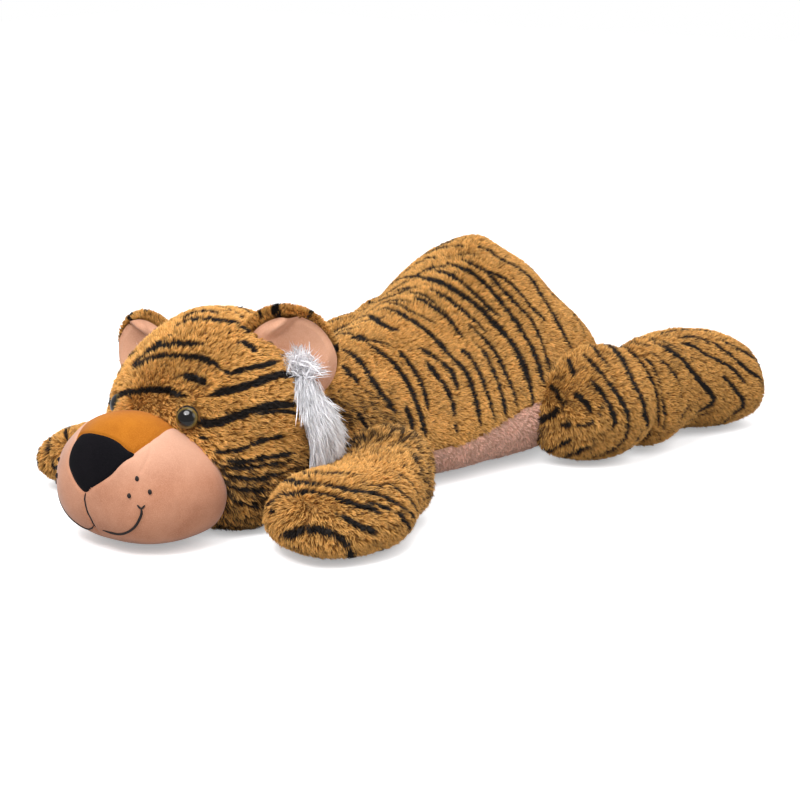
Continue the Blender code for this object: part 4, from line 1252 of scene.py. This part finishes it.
def murk_and_brow_shadow_of(word, points):
    """Where the pile is long and dark at its roots: low on the head, at the shoulder and in the creases.
    Above each eye the darkening is painted shadow under the brow.
    """
    x, y, z = points.T
    patchy = np.clip(0.5 + 0.5 * waviness(points, 0.030, 1), 0, 1)
    if word == "head":
        low = np.clip((0.122 - z) / 0.045, 0, 1) * np.clip((np.abs(x) - 0.02) / 0.03, 0, 1)
        eyes = [np.linalg.norm(points - np.array(eye_place(side) + PAINTED_BROW_SHADOW_OFFSET), axis=1) for side in (1, -1)]
        # painted shadow: the pile above each eye is darkened where the brow shades it
        painted_brow_shadow = np.clip(1.6 - np.minimum(*eyes) / 0.009, 0, 1)
        return np.maximum(low * (0.60 + 0.50 * patchy), 0.75 * painted_brow_shadow)
    if word.endswith("arm"):
        return np.clip((y + 0.235) / 0.05, 0, 1) * (0.50 + 0.50 * patchy)
    if word.endswith("leg"):
        return np.clip((0.140 - y) / 0.04, 0, 1) * 0.8 * patchy
    if word == "body":
        return np.clip((-0.080 - y) / 0.03, 0, 1) * np.clip((0.150 - z) / 0.04, 0, 1) * (0.50 + 0.5 * patchy)
    return 0.1 * patchy


# The pile of each part lies away from a place on its hidden inner side
COMB_SOURCES = {"body": (0.0, -0.350, 0.150), "head": (0.0, -0.470, 0.170), "arm": (0.190, -0.410, 0.115),
                "leg": (0.150, -0.060, 0.120), "tail": (0.0, 0.100, 0.060)}
COMB_WANDER, COMB_WANDER_LENGTH = 0.28, 0.045
COMB_DROP = {"body": 0.55, "head": 0.15, "arm": 0.30, "leg": 0.40, "tail": 0.30}


def comb_of(word, points):
    """Which way the pile lies."""
    kind = word.split("_")[-1]
    source = np.array(COMB_SOURCES[kind])
    if word.startswith("right"):
        source[0] = -source[0]
    if kind in ("leg", "tail"):
        source[0] += BODY_BEND
    comb = unit(points - source)
    comb[:, 2] -= COMB_DROP[kind]
    return comb + COMB_WANDER * wandering(points, COMB_WANDER_LENGTH)


PILE_COUNTS = {"body": 190000, "head": 100000, "left_arm": 50000, "right_arm": 50000, "left_leg": 64000,
               "right_leg": 64000, "tail": 20000}
NEIGHBOURS = {
    "body": ("head", "left_arm", "right_arm", "left_leg", "right_leg", "tail"),
    "head": ("body",), "left_arm": ("body",), "right_arm": ("body",), "left_leg": ("body",),
    "right_leg": ("body",), "tail": ("body",),
}
TREES = {}


LOWEST_PILE = 0.0015        # the flat underside needs no pile
COVERED_DEPTH = 0.010       # pile that lies deeper in a neighbour is left out
MUZZLE_COVERED_DEPTH = 0.002


def uncovered(word, co):
    """Which points no other part covers."""
    keep = co[:, 2] > LOWEST_PILE
    for other in NEIGHBOURS[word]:
        keep &= depth_in(TREES[other], co) < COVERED_DEPTH
    return keep


def bare_places(word, mesh):
    """Which vertices carry pile: those that no other piece covers."""
    co = points_of(mesh)
    keep = uncovered(word, co)
    if word == "head":
        keep &= depth_in(TREES["muzzle"], co) < MUZZLE_COVERED_DEPTH
        for side in (1, -1):
            keep &= np.linalg.norm(co - np.array(eye_place(side)), axis=1) > EYE_RADIUS
    if word == "body":
        keep &= ~is_belly(co, 0.0)
    return keep


def seam_height(y):
    """The belly panel's seam, which rises a little towards the rear."""
    return np.interp(y, *SEAM_COURSE)


def is_belly(co, margin):
    return (co[:, 2] < seam_height(co[:, 1]) - margin) & (co[:, 1] < BELLY_PANEL_END - margin)


LARGEST_PILE = 64000        # strands in one piece
SHORTEST_share, MURKY_LONGER_share = 0.88, 0.40


def make_fur(word):
    """The striped pile of one part, in as many pieces as keep each of them light."""
    rng = np.random.default_rng(100 + sorted(FORMS).index(word))
    mesh = SKINS[word]
    places, facing = scattered(mesh, int(PILE_COUNTS[word] * count_share()), rng, bare_places(word, mesh))
    comb = comb_of(word, places)
    # on the head this holds the painted shadow above the eyes too
    murk = murk_and_brow_shadow_of(word, places)
    pile = SMOOTH_FUR if word in ("body", "left_leg", "right_leg") else FUR
    # painted light: the head's pile is a tone lighter, where more light falls on the head
    middling = HEAD_PAINTED_LIGHT_MIDDLING if word == "head" else MIDDLING
    order = np.argsort(places[:, 1] if word == "body" else -places[:, 1], kind="stable")
    pieces = max(1, math.ceil(PILE_COUNTS[word] / LARGEST_PILE))
    for i, own in enumerate(np.array_split(order, pieces)):
        name = f"{word}_pile_{i + 1}" if pieces > 1 else f"{word}_pile"
        length_share = SHORTEST_share + MURKY_LONGER_share * murk[own]
        strands = (places[own], facing[own], comb[own])
        add_pile(name, strands, pile, word, STRIPED, rng, PATHS[word], murk[own], length_share, middling)


def in_belly(face):
    centre = face.calc_center_median()
    return bool(centre.z < seam_height(centre.y) and centre.y < BELLY_PANEL_END)


def make_covers():
    """The skins as pieces that stand for the covers."""
    for word, mesh in SKINS.items():
        bare_skin(mesh, path_mask(points_of(mesh), vertex_normals(mesh), PATHS[word]), 0.0)
        if word == "body":
            belly, mesh = parted(mesh, in_belly, (True, False))
            stuffed("belly_skin", belly, BELLY, "body", "belly_panel")
        stuffed(f"{word}_skin", mesh, STRIPED, word, f"{word}_cover")


# Face

# Seams and stitches of the muzzle, in mm, as they run on its left side and over its front
NOSE_LINE = (
    (-10, -497, 72), (2, -497, 80), (15, -496, 88), (30, -493, 100), (41, -485, 113), (49, -477, 122),
    (39, -478, 126), (27, -478, 132), (12, -479, 136), (-5, -480, 137), (-22, -478, 135), (-36, -477, 131),
    (-42, -481, 122), (-44, -485, 115), (-44, -489, 106), (-42, -491, 97), (-36, -493, 89), (-28, -495, 81),
    (-20, -496, 75),
)
BRIDGE_LINE = ((47, -478, 121), (51, -469, 126), (54, -456, 132), (53, -440, 137), (47, -418, 141),
               (38, -380, 146))
LIP_LINE = ((-10, -497, 71), (-12, -497, 64), (-12, -496, 56), (-11, -494, 47), (-8, -492, 38),
            (-6, -488, 28), (-5, -478, 14))
DART_LINE = ((55, -456, 132), (59, -460, 126), (62, -466, 120), (62, -473, 112), (61, -478, 104))
CREASE_LINE = ((92, -455, 67), (93, -452, 58), (92, -450, 49))
SMILE_LINE = ((65, -484, 65), (65, -484, 58), (61, -484, 50), (55, -485, 41), (44, -485, 33), (31, -484, 28),
              (18, -485, 27), (5, -486, 27))
FAR_SMILE_LINE = ((-76, -462, 60), (-72, -466, 46), (-62, -472, 33), (-46, -478, 25), (-37, -478, 22),
                  (-25, -480, 22), (-14, -484, 26), (-6, -489, 31))
SMILE_END = ((61, -486, 68), (65, -484, 64), (69, -482, 68))
WHISKER_DOTS = ((59, -483, 97), (53, -490, 78), (73, -478, 83))
MUZZLE_SKIN, MUZZLE_FILLING = (0.001, 6), (0.0065, 4)       # inset, levels
MUZZLE_LUMPS = (0.050, 0.0008)
PANELS_BEHIND, PANELS_ABOVE = -350, 60          # the nose and bridge lie in front of and above these
BRIDGE_REAR = -364          # in the flat plane
SINKS = ((1.5, 2.6), (0.9, 2.2), (0.7, 3.0))    # depth and width of the seams, the darts and the crease
NOSE_MIDDLE = 3.0           # mm; the nose sits this far to the toy's left
SEAM_MIDDLE = -11.0         # mm; the lip seam lies this far off the middle


def laid_flat(points):
    """Places on the muzzle's front and top, in one plane."""
    points = np.asarray(points, float)
    return np.stack([points[:, 0], points[:, 1] + points[:, 2]], 1)


def inside(flat, outline):
    """Which flat points lie inside a closed outline."""
    x, y = flat.T
    odd = np.zeros(len(flat), bool)
    for (ax, ay), (bx, by) in zip(outline, np.roll(outline, -1, axis=0)):
        crosses = (ay > y) != (by > y)
        odd ^= crosses & (x < (bx - ax) * (y - ay) / (by - ay + 1e-12) + ax)
    return odd


def nearest_on(points, line, closed_line=False):
    """The nearest place on a line for each point, and how far it is."""
    line = np.asarray(line, float)
    ends = np.roll(line, -1, axis=0) if closed_line else line[1:]
    best = np.full(len(points), 1e9)
    place = np.array(points, float)
    for a, b in zip(line, ends):
        t = np.clip((points - a) @ (b - a) / ((b - a) @ (b - a)), 0, 1)
        here = a + t[:, None] * (b - a)
        far = np.linalg.norm(points - here, axis=1)
        closer = far < best
        place[closer] = here[closer]
        best = np.minimum(best, far)
    return place, best


def smooth_line(corners, count, closed_line=False):
    """A rounded line through these corners."""
    p = np.asarray(corners, float)
    if closed_line:
        p = np.concatenate([p[-1:], p, p[:2]])
    else:
        p = np.concatenate([2 * p[:1] - p[1:2], p, 2 * p[-1:] - p[-2:-1]])
    out = []
    for i in range(1, len(p) - 2):
        a, b, c, d = p[i - 1:i + 3]
        for t in np.linspace(0, 1, count, endpoint=False):
            out.append(0.5 * (2 * b + (c - a) * t + (2 * a - 5 * b + 4 * c - d) * t ** 2
                              + (3 * b - a - 3 * c + d) * t ** 3))
    if not closed_line:
        out.append(p[-2])
    return np.array(out)


def mirrored_line(line, middle=0.0):
    return [(2 * middle - x, y, z) for x, y, z in line]


def panel_labels(faces, flat, front_top, nose_flat, strip):
    """Which panel each face of the muzzle belongs to: 0 muzzle, 1 bridge, 2 nose."""
    in_nose = inside(flat, nose_flat) & front_top
    in_bridge = inside(flat, strip) & front_top & ~in_nose & (flat[:, 1] > BRIDGE_REAR)
    kind = np.where(in_nose, 2, np.where(in_bridge, 1, 0))
    return np.array([np.bincount(kind[f], minlength=3).argmax() for f in faces])


def at_edges(faces, label, count):
    """Which vertices lie between two panels."""
    least, most = np.full(count, 9), np.full(count, -1)
    for f, own in zip(faces, label):
        least[f] = np.minimum(least[f], own)
        most[f] = np.maximum(most[f], own)
    return least != most


def drawn_to_seams(flat, normals, lines):
    """How far the panels' edges move to lie on the seams."""
    targets = [nearest_on(flat, line, round_line) for line, round_line in lines]
    best = np.argmin([far for _, far in targets], axis=0)
    moved = np.choose(best[:, None], [place for place, _ in targets]) - flat
    ahead, above = np.abs(normals[:, 1]), np.abs(normals[:, 2])
    rise = ahead / (ahead + above + 1e-6)
    shift = np.stack([moved[:, 0], moved[:, 1] * (1 - rise), moved[:, 1] * rise], 1)
    shift -= (shift * normals).sum(1, keepdims=True) * normals
    return np.clip(shift, -1.2, 1.2)


def seam_sink(co, flat, front_top, lines):
    """How deep the seams, darts and crease draw the skin in."""
    seams = np.min([far for _, far in (nearest_on(flat, line, r) for line, r in lines)], axis=0)
    seams = np.where(front_top, seams, 99)
    seams = np.minimum(seams, nearest_on(co, smooth_line(LIP_LINE, 3))[1])
    fars = (seams, nearest_on(co, DART_LINE)[1], nearest_on(co, CREASE_LINE)[1])
    return sum(depth * np.exp(-(far / width) ** 2) for far, (depth, width) in zip(fars, SINKS))


def make_muzzle():
    """Peach velboa with an orange bridge and a black nose let into it, drawn in along the seams."""
    mesh = muzzle_mesh(*MUZZLE_SKIN)
    lumps(mesh, *MUZZLE_LUMPS)
    nose = smooth_line(NOSE_LINE, 4, True)
    bridge = smooth_line(BRIDGE_LINE, 4)
    far_bridge = np.array(mirrored_line(bridge, NOSE_MIDDLE))
    co = points_of(mesh) / MM
    flat = laid_flat(co)
    nose_flat, near_flat, far_flat = (laid_flat(line) for line in (nose, bridge, far_bridge))
    front_top = (co[:, 1] < PANELS_BEHIND) & (co[:, 2] > PANELS_ABOVE)
    faces = [list(f.vertices) for f in mesh.polygons]
    label = panel_labels(faces, flat, front_top, nose_flat, np.concatenate([near_flat, far_flat[::-1]]))
    edges = at_edges(faces, label, len(co))
    lines = [(nose_flat, True), (near_flat, False), (far_flat, False)]
    co[edges] += drawn_to_seams(flat[edges], vertex_normals(mesh)[edges], lines)
    set_points(mesh, co * MM)
    sink = seam_sink(co, flat, front_top, lines)
    set_points(mesh, (co - vertex_normals(mesh) * sink[:, None]) * MM)
    TREES["muzzle"] = tree_of(mesh)
    names = (("muzzle_skin", PEACH, "muzzle_cover"), ("bridge_skin", ORANGE, "nose_bridge"),
             ("nose_skin", BLACK, "nose"))
    for part, (name, surface, node) in zip(parted(mesh, lambda f: label[f.index], range(3)), names):
        stuffed(name, part, surface, "head", node)
    filling = closed(muzzle_mesh(*MUZZLE_FILLING))
    stuffed("muzzle_filling", filling, FILL, "head", "muzzle_stuffing")
    make_stitches()


def on_skin(tree, points, rise):
    """The points moved onto a skin, this far above it."""
    out = []
    for p in points:
        near, normal, _, _ = tree.find_nearest(p)
        out.append(near + normal * rise)
    return np.array(out)


def tube_mesh(name, line, radius, sides=8, taper=0.35):
    """A thread along a line, thinner at its ends."""
    line = np.asarray(line, float)
    count = len(line)
    run = unit(np.gradient(line, axis=0))
    side = unit(np.cross(run, np.array([0.1, 0.2, 1.0])))
    lift = np.cross(side, run)
    turn = np.linspace(0, 2 * math.pi, sides, endpoint=False)
    t = np.linspace(0, 1, count)
    size = radius * (taper + (1 - taper) * np.clip(np.minimum(t, 1 - t) * 8, 0, 1))
    ring = np.cos(turn)[None, :, None] * side[:, None] + np.sin(turn)[None, :, None] * lift[:, None]
    co = line[:, None] + ring * size[:, None, None]
    bm = bmesh.new()
    rows = add_rows(bm, co)
    bm.faces.new(rows[0][::-1])
    bm.faces.new(rows[-1])
    return mesh_of(bm, name)


def make_stitches():
    """The smile, the whisker dots and the dark thread of the lip seam."""
    tree = TREES["muzzle"]
    threads = []
    far_end = mirrored_line(SMILE_END, SEAM_MIDDLE)
    smiles = ((SMILE_LINE, 0.0015), (SMILE_END, 0.0011), (FAR_SMILE_LINE, 0.0010), (far_end, 0.0010))
    for line, radius in smiles:
        course = on_skin(tree, smooth_line(line, 6) * MM, 0.0003)
        threads.append(tube_mesh("stitch", course, radius))
    dots = (*WHISKER_DOTS, *mirrored_line(WHISKER_DOTS, SEAM_MIDDLE))
    for place in on_skin(tree, np.array(dots) * MM, 0.0002):
        threads.append(ellipsoid(Vector(place), (0.0025, 0.0020, 0.0030), 16))
    threads.append(tube_mesh("lip", on_skin(tree, smooth_line(LIP_LINE[:6], 5) * MM, 0.0001), 0.0010))
    piece("face_stitches", merged(threads), THREAD, "head")


def eye_place(side):
    return Vector((side * EYE_PLACE_share.x * HEAD_HALF_WIDTH,
                   HEAD_CENTRE.y + HEAD_RADIUS - EYE_PLACE_share.y * HEAD_LENGTH,
                   EYE_PLACE_share.z * (HEAD_CENTRE.z + HEAD_RADIUS)))


def eye_frame(side):
    out = Vector((side * EYE_AIM.x, EYE_AIM.y, EYE_AIM.z)).normalized()
    return Matrix.Translation(eye_place(side)) @ out.to_track_quat("Z", "Y").to_matrix().to_4x4()


def make_eyes():
    """Glossy domes, black in the middle and olive round it, over the plates."""
    for side, word in ((1, "left"), (-1, "right")):
        bm = bmesh.new()
        bmesh.ops.create_uvsphere(bm, u_segments=64, v_segments=48, radius=1.0)
        under = [v for v in bm.verts if v.co.z < -0.001]
        bmesh.ops.delete(bm, geom=under, context="VERTS")
        rim = [e for e in bm.edges if e.is_boundary]
        bmesh.ops.edgeloop_fill(bm, edges=rim)
        mesh = mesh_of(bm, "dome")
        co = points_of(mesh)
        give(mesh, "across", np.hypot(co[:, 0], co[:, 1]))
        set_points(mesh, co * np.array([EYE_RADIUS, EYE_RADIUS, EYE_BULGE]))
        sunk = EYE_PLATE if side > 0 else -RIGHT_EYE_SINK
        mesh.transform(eye_frame(side) @ Matrix.Translation((0.0, -EYE_DROP, sunk)))
        dome = piece(f"{word}_eye_dome", mesh, GLASS, "head")
        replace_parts(dome, f"{word}_eye_lens")
        if side < 0:
            plate = ellipsoid(eye_place(side) - Vector((side * EYE_AIM.x, EYE_AIM.y, EYE_AIM.z)) * 0.012,
                              (0.008, 0.008, 0.004), 24)
            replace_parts(piece("right_eye_back", plate, PUPIL, "head"), "right_eye_plate")
        for part, surface in (("plate", PUPIL), ("washer", MOULDED)):
            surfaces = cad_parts[f"{word}_eye_{part}"].data.materials
            surfaces.clear()
            surfaces.append(surface)


def ear_frame(side):
    """A frame at the ear's base: X along it, Y to the back of the ear, Z out of the head."""
    outward = Vector((side * EAR_OUTWARD.x, EAR_OUTWARD.y, EAR_OUTWARD.z)).normalized()
    along = side * Vector((side * EAR_BASE_LINE.x, EAR_BASE_LINE.y, EAR_BASE_LINE.z))
    along = (along - along.dot(outward) * outward).normalized()
    turn = Matrix((along, outward.cross(along), outward)).transposed().to_4x4()
    place = Vector((side * EAR_PLACE.x, EAR_PLACE.y, EAR_PLACE.z + (RIGHT_EAR_LIFT if side < 0 else 0.0)))
    placed = Matrix.Translation(place - HEAD_CENTRE) @ turn
    return Matrix.Translation(HEAD_CENTRE) @ Matrix.Rotation(-EAR_TILT, 4, "Y") @ placed


def ear_sizes(side, growth):
    """Where the middle of an ear's outline lies, and how wide and high it is."""
    return (side * EAR_MIDDLE_share * EAR_HALF_WIDTH, EAR_HALF_WIDTH * growth * EAR_WIDE_share - EAR_INSET,
            EAR_HEIGHT * growth - EAR_INSET)


def ear_depth(x, z, side, growth):
    """How far back the two faces of an ear lie at a place: the domed back and the hollow front."""
    middle, wide, high = ear_sizes(side, growth)
    reach = np.hypot((x - middle) / wide, z / high)
    dome = (EAR_HALF_THICKNESS - EAR_INSET) * np.sqrt(np.clip(1 - reach ** 2, 0, 1))
    ahead = EAR_HALF_THICKNESS - EAR_DISH_DEPTH + EAR_DISH_RADIUS
    bowl = np.sqrt(EAR_DISH_RADIUS ** 2 - x ** 2 - (z - EAR_HEIGHT / 2) ** 2) - ahead
    return dome, np.minimum(np.maximum(-dome, bowl), dome)


def ear_sheet(face, side, growth, rings=40, spokes=96):
    """A face of an ear, the back, the front or the lining, as rings in the ear's own frame."""
    r = np.linspace(0, 1, rings)[:, None] ** 0.8
    turn = np.linspace(0, 2 * math.pi, spokes, endpoint=False)[None]
    middle, wide, high = ear_sizes(side, growth)
    if face == "lining":
        middle = side * LINING_MIDDLE_share * EAR_HALF_WIDTH
        wide, high = LINING_WIDE_share * EAR_HALF_WIDTH, LINING_HIGH_share * EAR_HEIGHT
    x, z = middle + r * np.cos(turn) * wide, r * np.sin(turn) * high
    dome, front = ear_depth(x, z, side, growth)
    if face == "back":
        y = dome
    elif face == "front":
        y = np.where(r < 0.72, dome - 0.0010, np.minimum(front, dome - 0.0002 * (r < 0.99)))
    else:
        fold = -x * side - EAR_FOLD
        ridge = 0.0016 * np.exp(-((fold + 0.004) / 0.0035) ** 2)
        crease = ridge - 0.0065 * np.exp(-((fold - 0.004) / 0.005) ** 2)
        y = front - 0.0030 * np.clip((1 - r) / 0.15, 0.3, 1) + crease * np.clip(z / 0.02, 0, 1)
    return np.stack([x, y, z], 2)


def sheet_mesh(name, co, flip):
    bm = bmesh.new()
    add_rows(bm, co, flip)
    bmesh.ops.remove_doubles(bm, verts=bm.verts, dist=EAR_SEAM)
    return mesh_of(bm, name)


def ear_paths(place):
    """Dark marks over the ear's edge."""
    out = []
    for degrees, half_width in EAR_MARKS:
        turn = math.radians(degrees)
        corners = []
        for reach, back in ((0.97, -0.004), (1.0, 0.002), (0.90, 0.008), (0.62, 0.012)):
            x = -EAR_HALF_WIDTH * reach * math.cos(turn)
            corner = place @ Vector((x, back, EAR_HEIGHT * reach * math.sin(turn)))
            corners.append(tuple(corner / MM))
        out.append((half_width, *corners))
    return out


def make_ear(side, word):
    """A furry ear with a smooth lining."""
    turn = Matrix.Rotation(EAR_TURN[side], 4, "Z") @ Matrix.Rotation(EAR_LEAN[side], 4, "X")
    place = ear_frame(side) @ turn
    growth = EAR_GROWTH_share[side]
    back, front = ear_sheet("back", side, growth), ear_sheet("front", side, growth)
    cover = merged([sheet_mesh("back", back, False), sheet_mesh("front", front, True)])
    closed(cover, EAR_SEAM)
    cover.transform(place)
    pad = sheet_mesh("lining", ear_sheet("lining", side, growth), True)
    pad.transform(place)
    stuffed(f"{word}_ear_pad", pad, LINING, "head", f"{word}_ear_lining")
    paths = ear_paths(place)
    bare_skin(cover, path_mask(points_of(cover), vertex_normals(cover), paths), 0.2)
    stuffed(f"{word}_ear_skin", cover, STRIPED, "head", f"{word}_ear_cover")
    make_ear_pile(side, word, cover, place, paths)


def make_ear_pile(side, word, cover, place, paths):
    """Pile on the ear's back and on its front around the lining, combed outwards."""
    rng = np.random.default_rng(300 + side)
    inverse = place.inverted()
    local = np.array([inverse @ Vector(p) for p in points_of(cover)])
    lined_reach = np.hypot((local[:, 0] / EAR_HALF_WIDTH - LINING_MIDDLE_share * side) / LINING_WIDE_share,
                           local[:, 2] / EAR_HEIGHT / LINING_HIGH_share)
    turned = vertex_normals(cover) @ np.array(place.to_3x3())
    keep = (turned[:, 1] > 0.0) | (lined_reach > 1.0)
    keep &= depth_in(TREES["head"], points_of(cover)) < 0.004
    count = int(EAR_STRANDS * count_share())
    places, facing = scattered(cover, count, rng, keep)
    local = np.array([inverse @ Vector(p) for p in places])
    outwards = unit(np.stack([local[:, 0], np.full(count, 0.012), local[:, 2] + 0.012], 1))
    comb = outwards @ np.array(place.to_3x3()).T + 0.3 * wandering(places, 0.03)
    murk = np.clip(0.35 + 0.5 * waviness(places, 0.02, 1), 0, 1)
    add_pile(f"{word}_ear_pile", (places, facing, comb), FUR, "head", STRIPED, rng, paths, 0.25 * murk, 0.70)


# The strip of long white pile on the left cheek, in mm, from the ear's base down: place, half width
CHEEK_STRIP = (((108, -265, 187), 9), ((122, -272, 163), 15), ((129, -266, 140), 20),
               ((131, -257, 118), 25), ((130, -250, 96), 28))
STRIP_STRANDS, BURST_STRANDS, BELLY_STRANDS = 15000, 4200, 60000
STRIP_BULGE = 0.006
BURST_SIZE = 0.007
BELLY_OVERLAP = 0.002       # the belly's pile goes this far past its seam
BELLY_COMB = (0.0, 0.8, -0.9)
BURST_PLACE = (112, -266, 187)
RIGHT_BURST_DROP = 0.024


def make_cheek_pile(side, word):
    """Long white pile: a strip that hangs down the cheek from a burst at the ear's base."""
    rng = np.random.default_rng(400 + side)
    mirror = np.array([side, 1.0, 1.0])
    course = smooth_line([p for p, _ in CHEEK_STRIP], 8) * MM
    widths = np.interp(np.linspace(0, 1, len(course)), np.linspace(0, 1, len(CHEEK_STRIP)),
                       [w * MM for _, w in CHEEK_STRIP])
    count = int(STRIP_STRANDS * count_share())
    where = rng.random(count) * (len(course) - 1.001)
    i = where.astype(int)
    part_way = (where - i)[:, None]
    middle = course[i] * (1 - part_way) + course[i + 1] * part_way
    run = unit(course[i + 1] - course[i])
    out = unit(middle - np.array(HEAD_CENTRE) + np.array([0.03, 0.0, 0.0]))
    across = unit(np.cross(run, out))
    off = rng.uniform(-1, 1, count)
    bulge = STRIP_BULGE * (1 - off ** 2) * rng.random(count)
    places = middle + across * (off * widths[i])[:, None] + out * bulge[:, None]
    comb = run + across * (off * 0.22)[:, None] + rng.normal(0, 0.10, (count, 3))
    pile = add_pile(f"{word}_cheek_pile", (places * mirror, out * mirror, comb * mirror), SHAGGY, "head",
                    WHITE, rng, length_share=rng.uniform(0.8, 1.15, count))
    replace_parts(pile, f"{word}_cheek_tuft")
    count = int(BURST_STRANDS * count_share())
    low = np.array([0.0, 0.0, 0.0 if side > 0 else RIGHT_BURST_DROP])
    places = np.array(BURST_PLACE) * MM - low + rng.normal(0, BURST_SIZE, (count, 3))
    facing = unit(np.array([0.75, -0.45, 0.45]) + rng.normal(0, 0.25, (count, 3)))
    comb = rng.normal(0, 1, (count, 3)) + np.array([0.1, 0.3, 0.35])
    add_pile(f"{word}_cheek_burst", (places * mirror, facing * mirror, comb * mirror), BURST, "head", WHITE,
             rng, length_share=rng.uniform(0.6, 1.1, count))


def make_belly_pile():
    """Short brushed pile on the belly panel."""
    rng = np.random.default_rng(500)
    mesh = SKINS["body"]
    co = points_of(mesh)
    keep = is_belly(co, -BELLY_OVERLAP) & uncovered("body", co)
    places, facing = scattered(mesh, int(BELLY_STRANDS * count_share()), rng, keep)
    comb = np.array(BELLY_COMB) + 0.35 * wandering(places, 0.03)
    add_pile("belly_pile", (places, facing, comb), SHORT, "body", BELLY, rng,
             murk=np.clip(0.2 * waviness(places, 0.05, 2), 0, 1))


def count_share():
    return 1.0


make_studio()
make_skins()
for word, mesh in SKINS.items():
    TREES[word] = tree_of(mesh)
for word in FORMS:
    PATHS[word] = [*PATHS[word], *ring_paths(word)]
make_muzzle()
make_eyes()
for side, word in ((1, "left"), (-1, "right")):
    make_ear(side, word)
    make_cheek_pile(side, word)
make_fillings()
for word in FORMS:
    make_fur(word)
make_belly_pile()
make_covers()
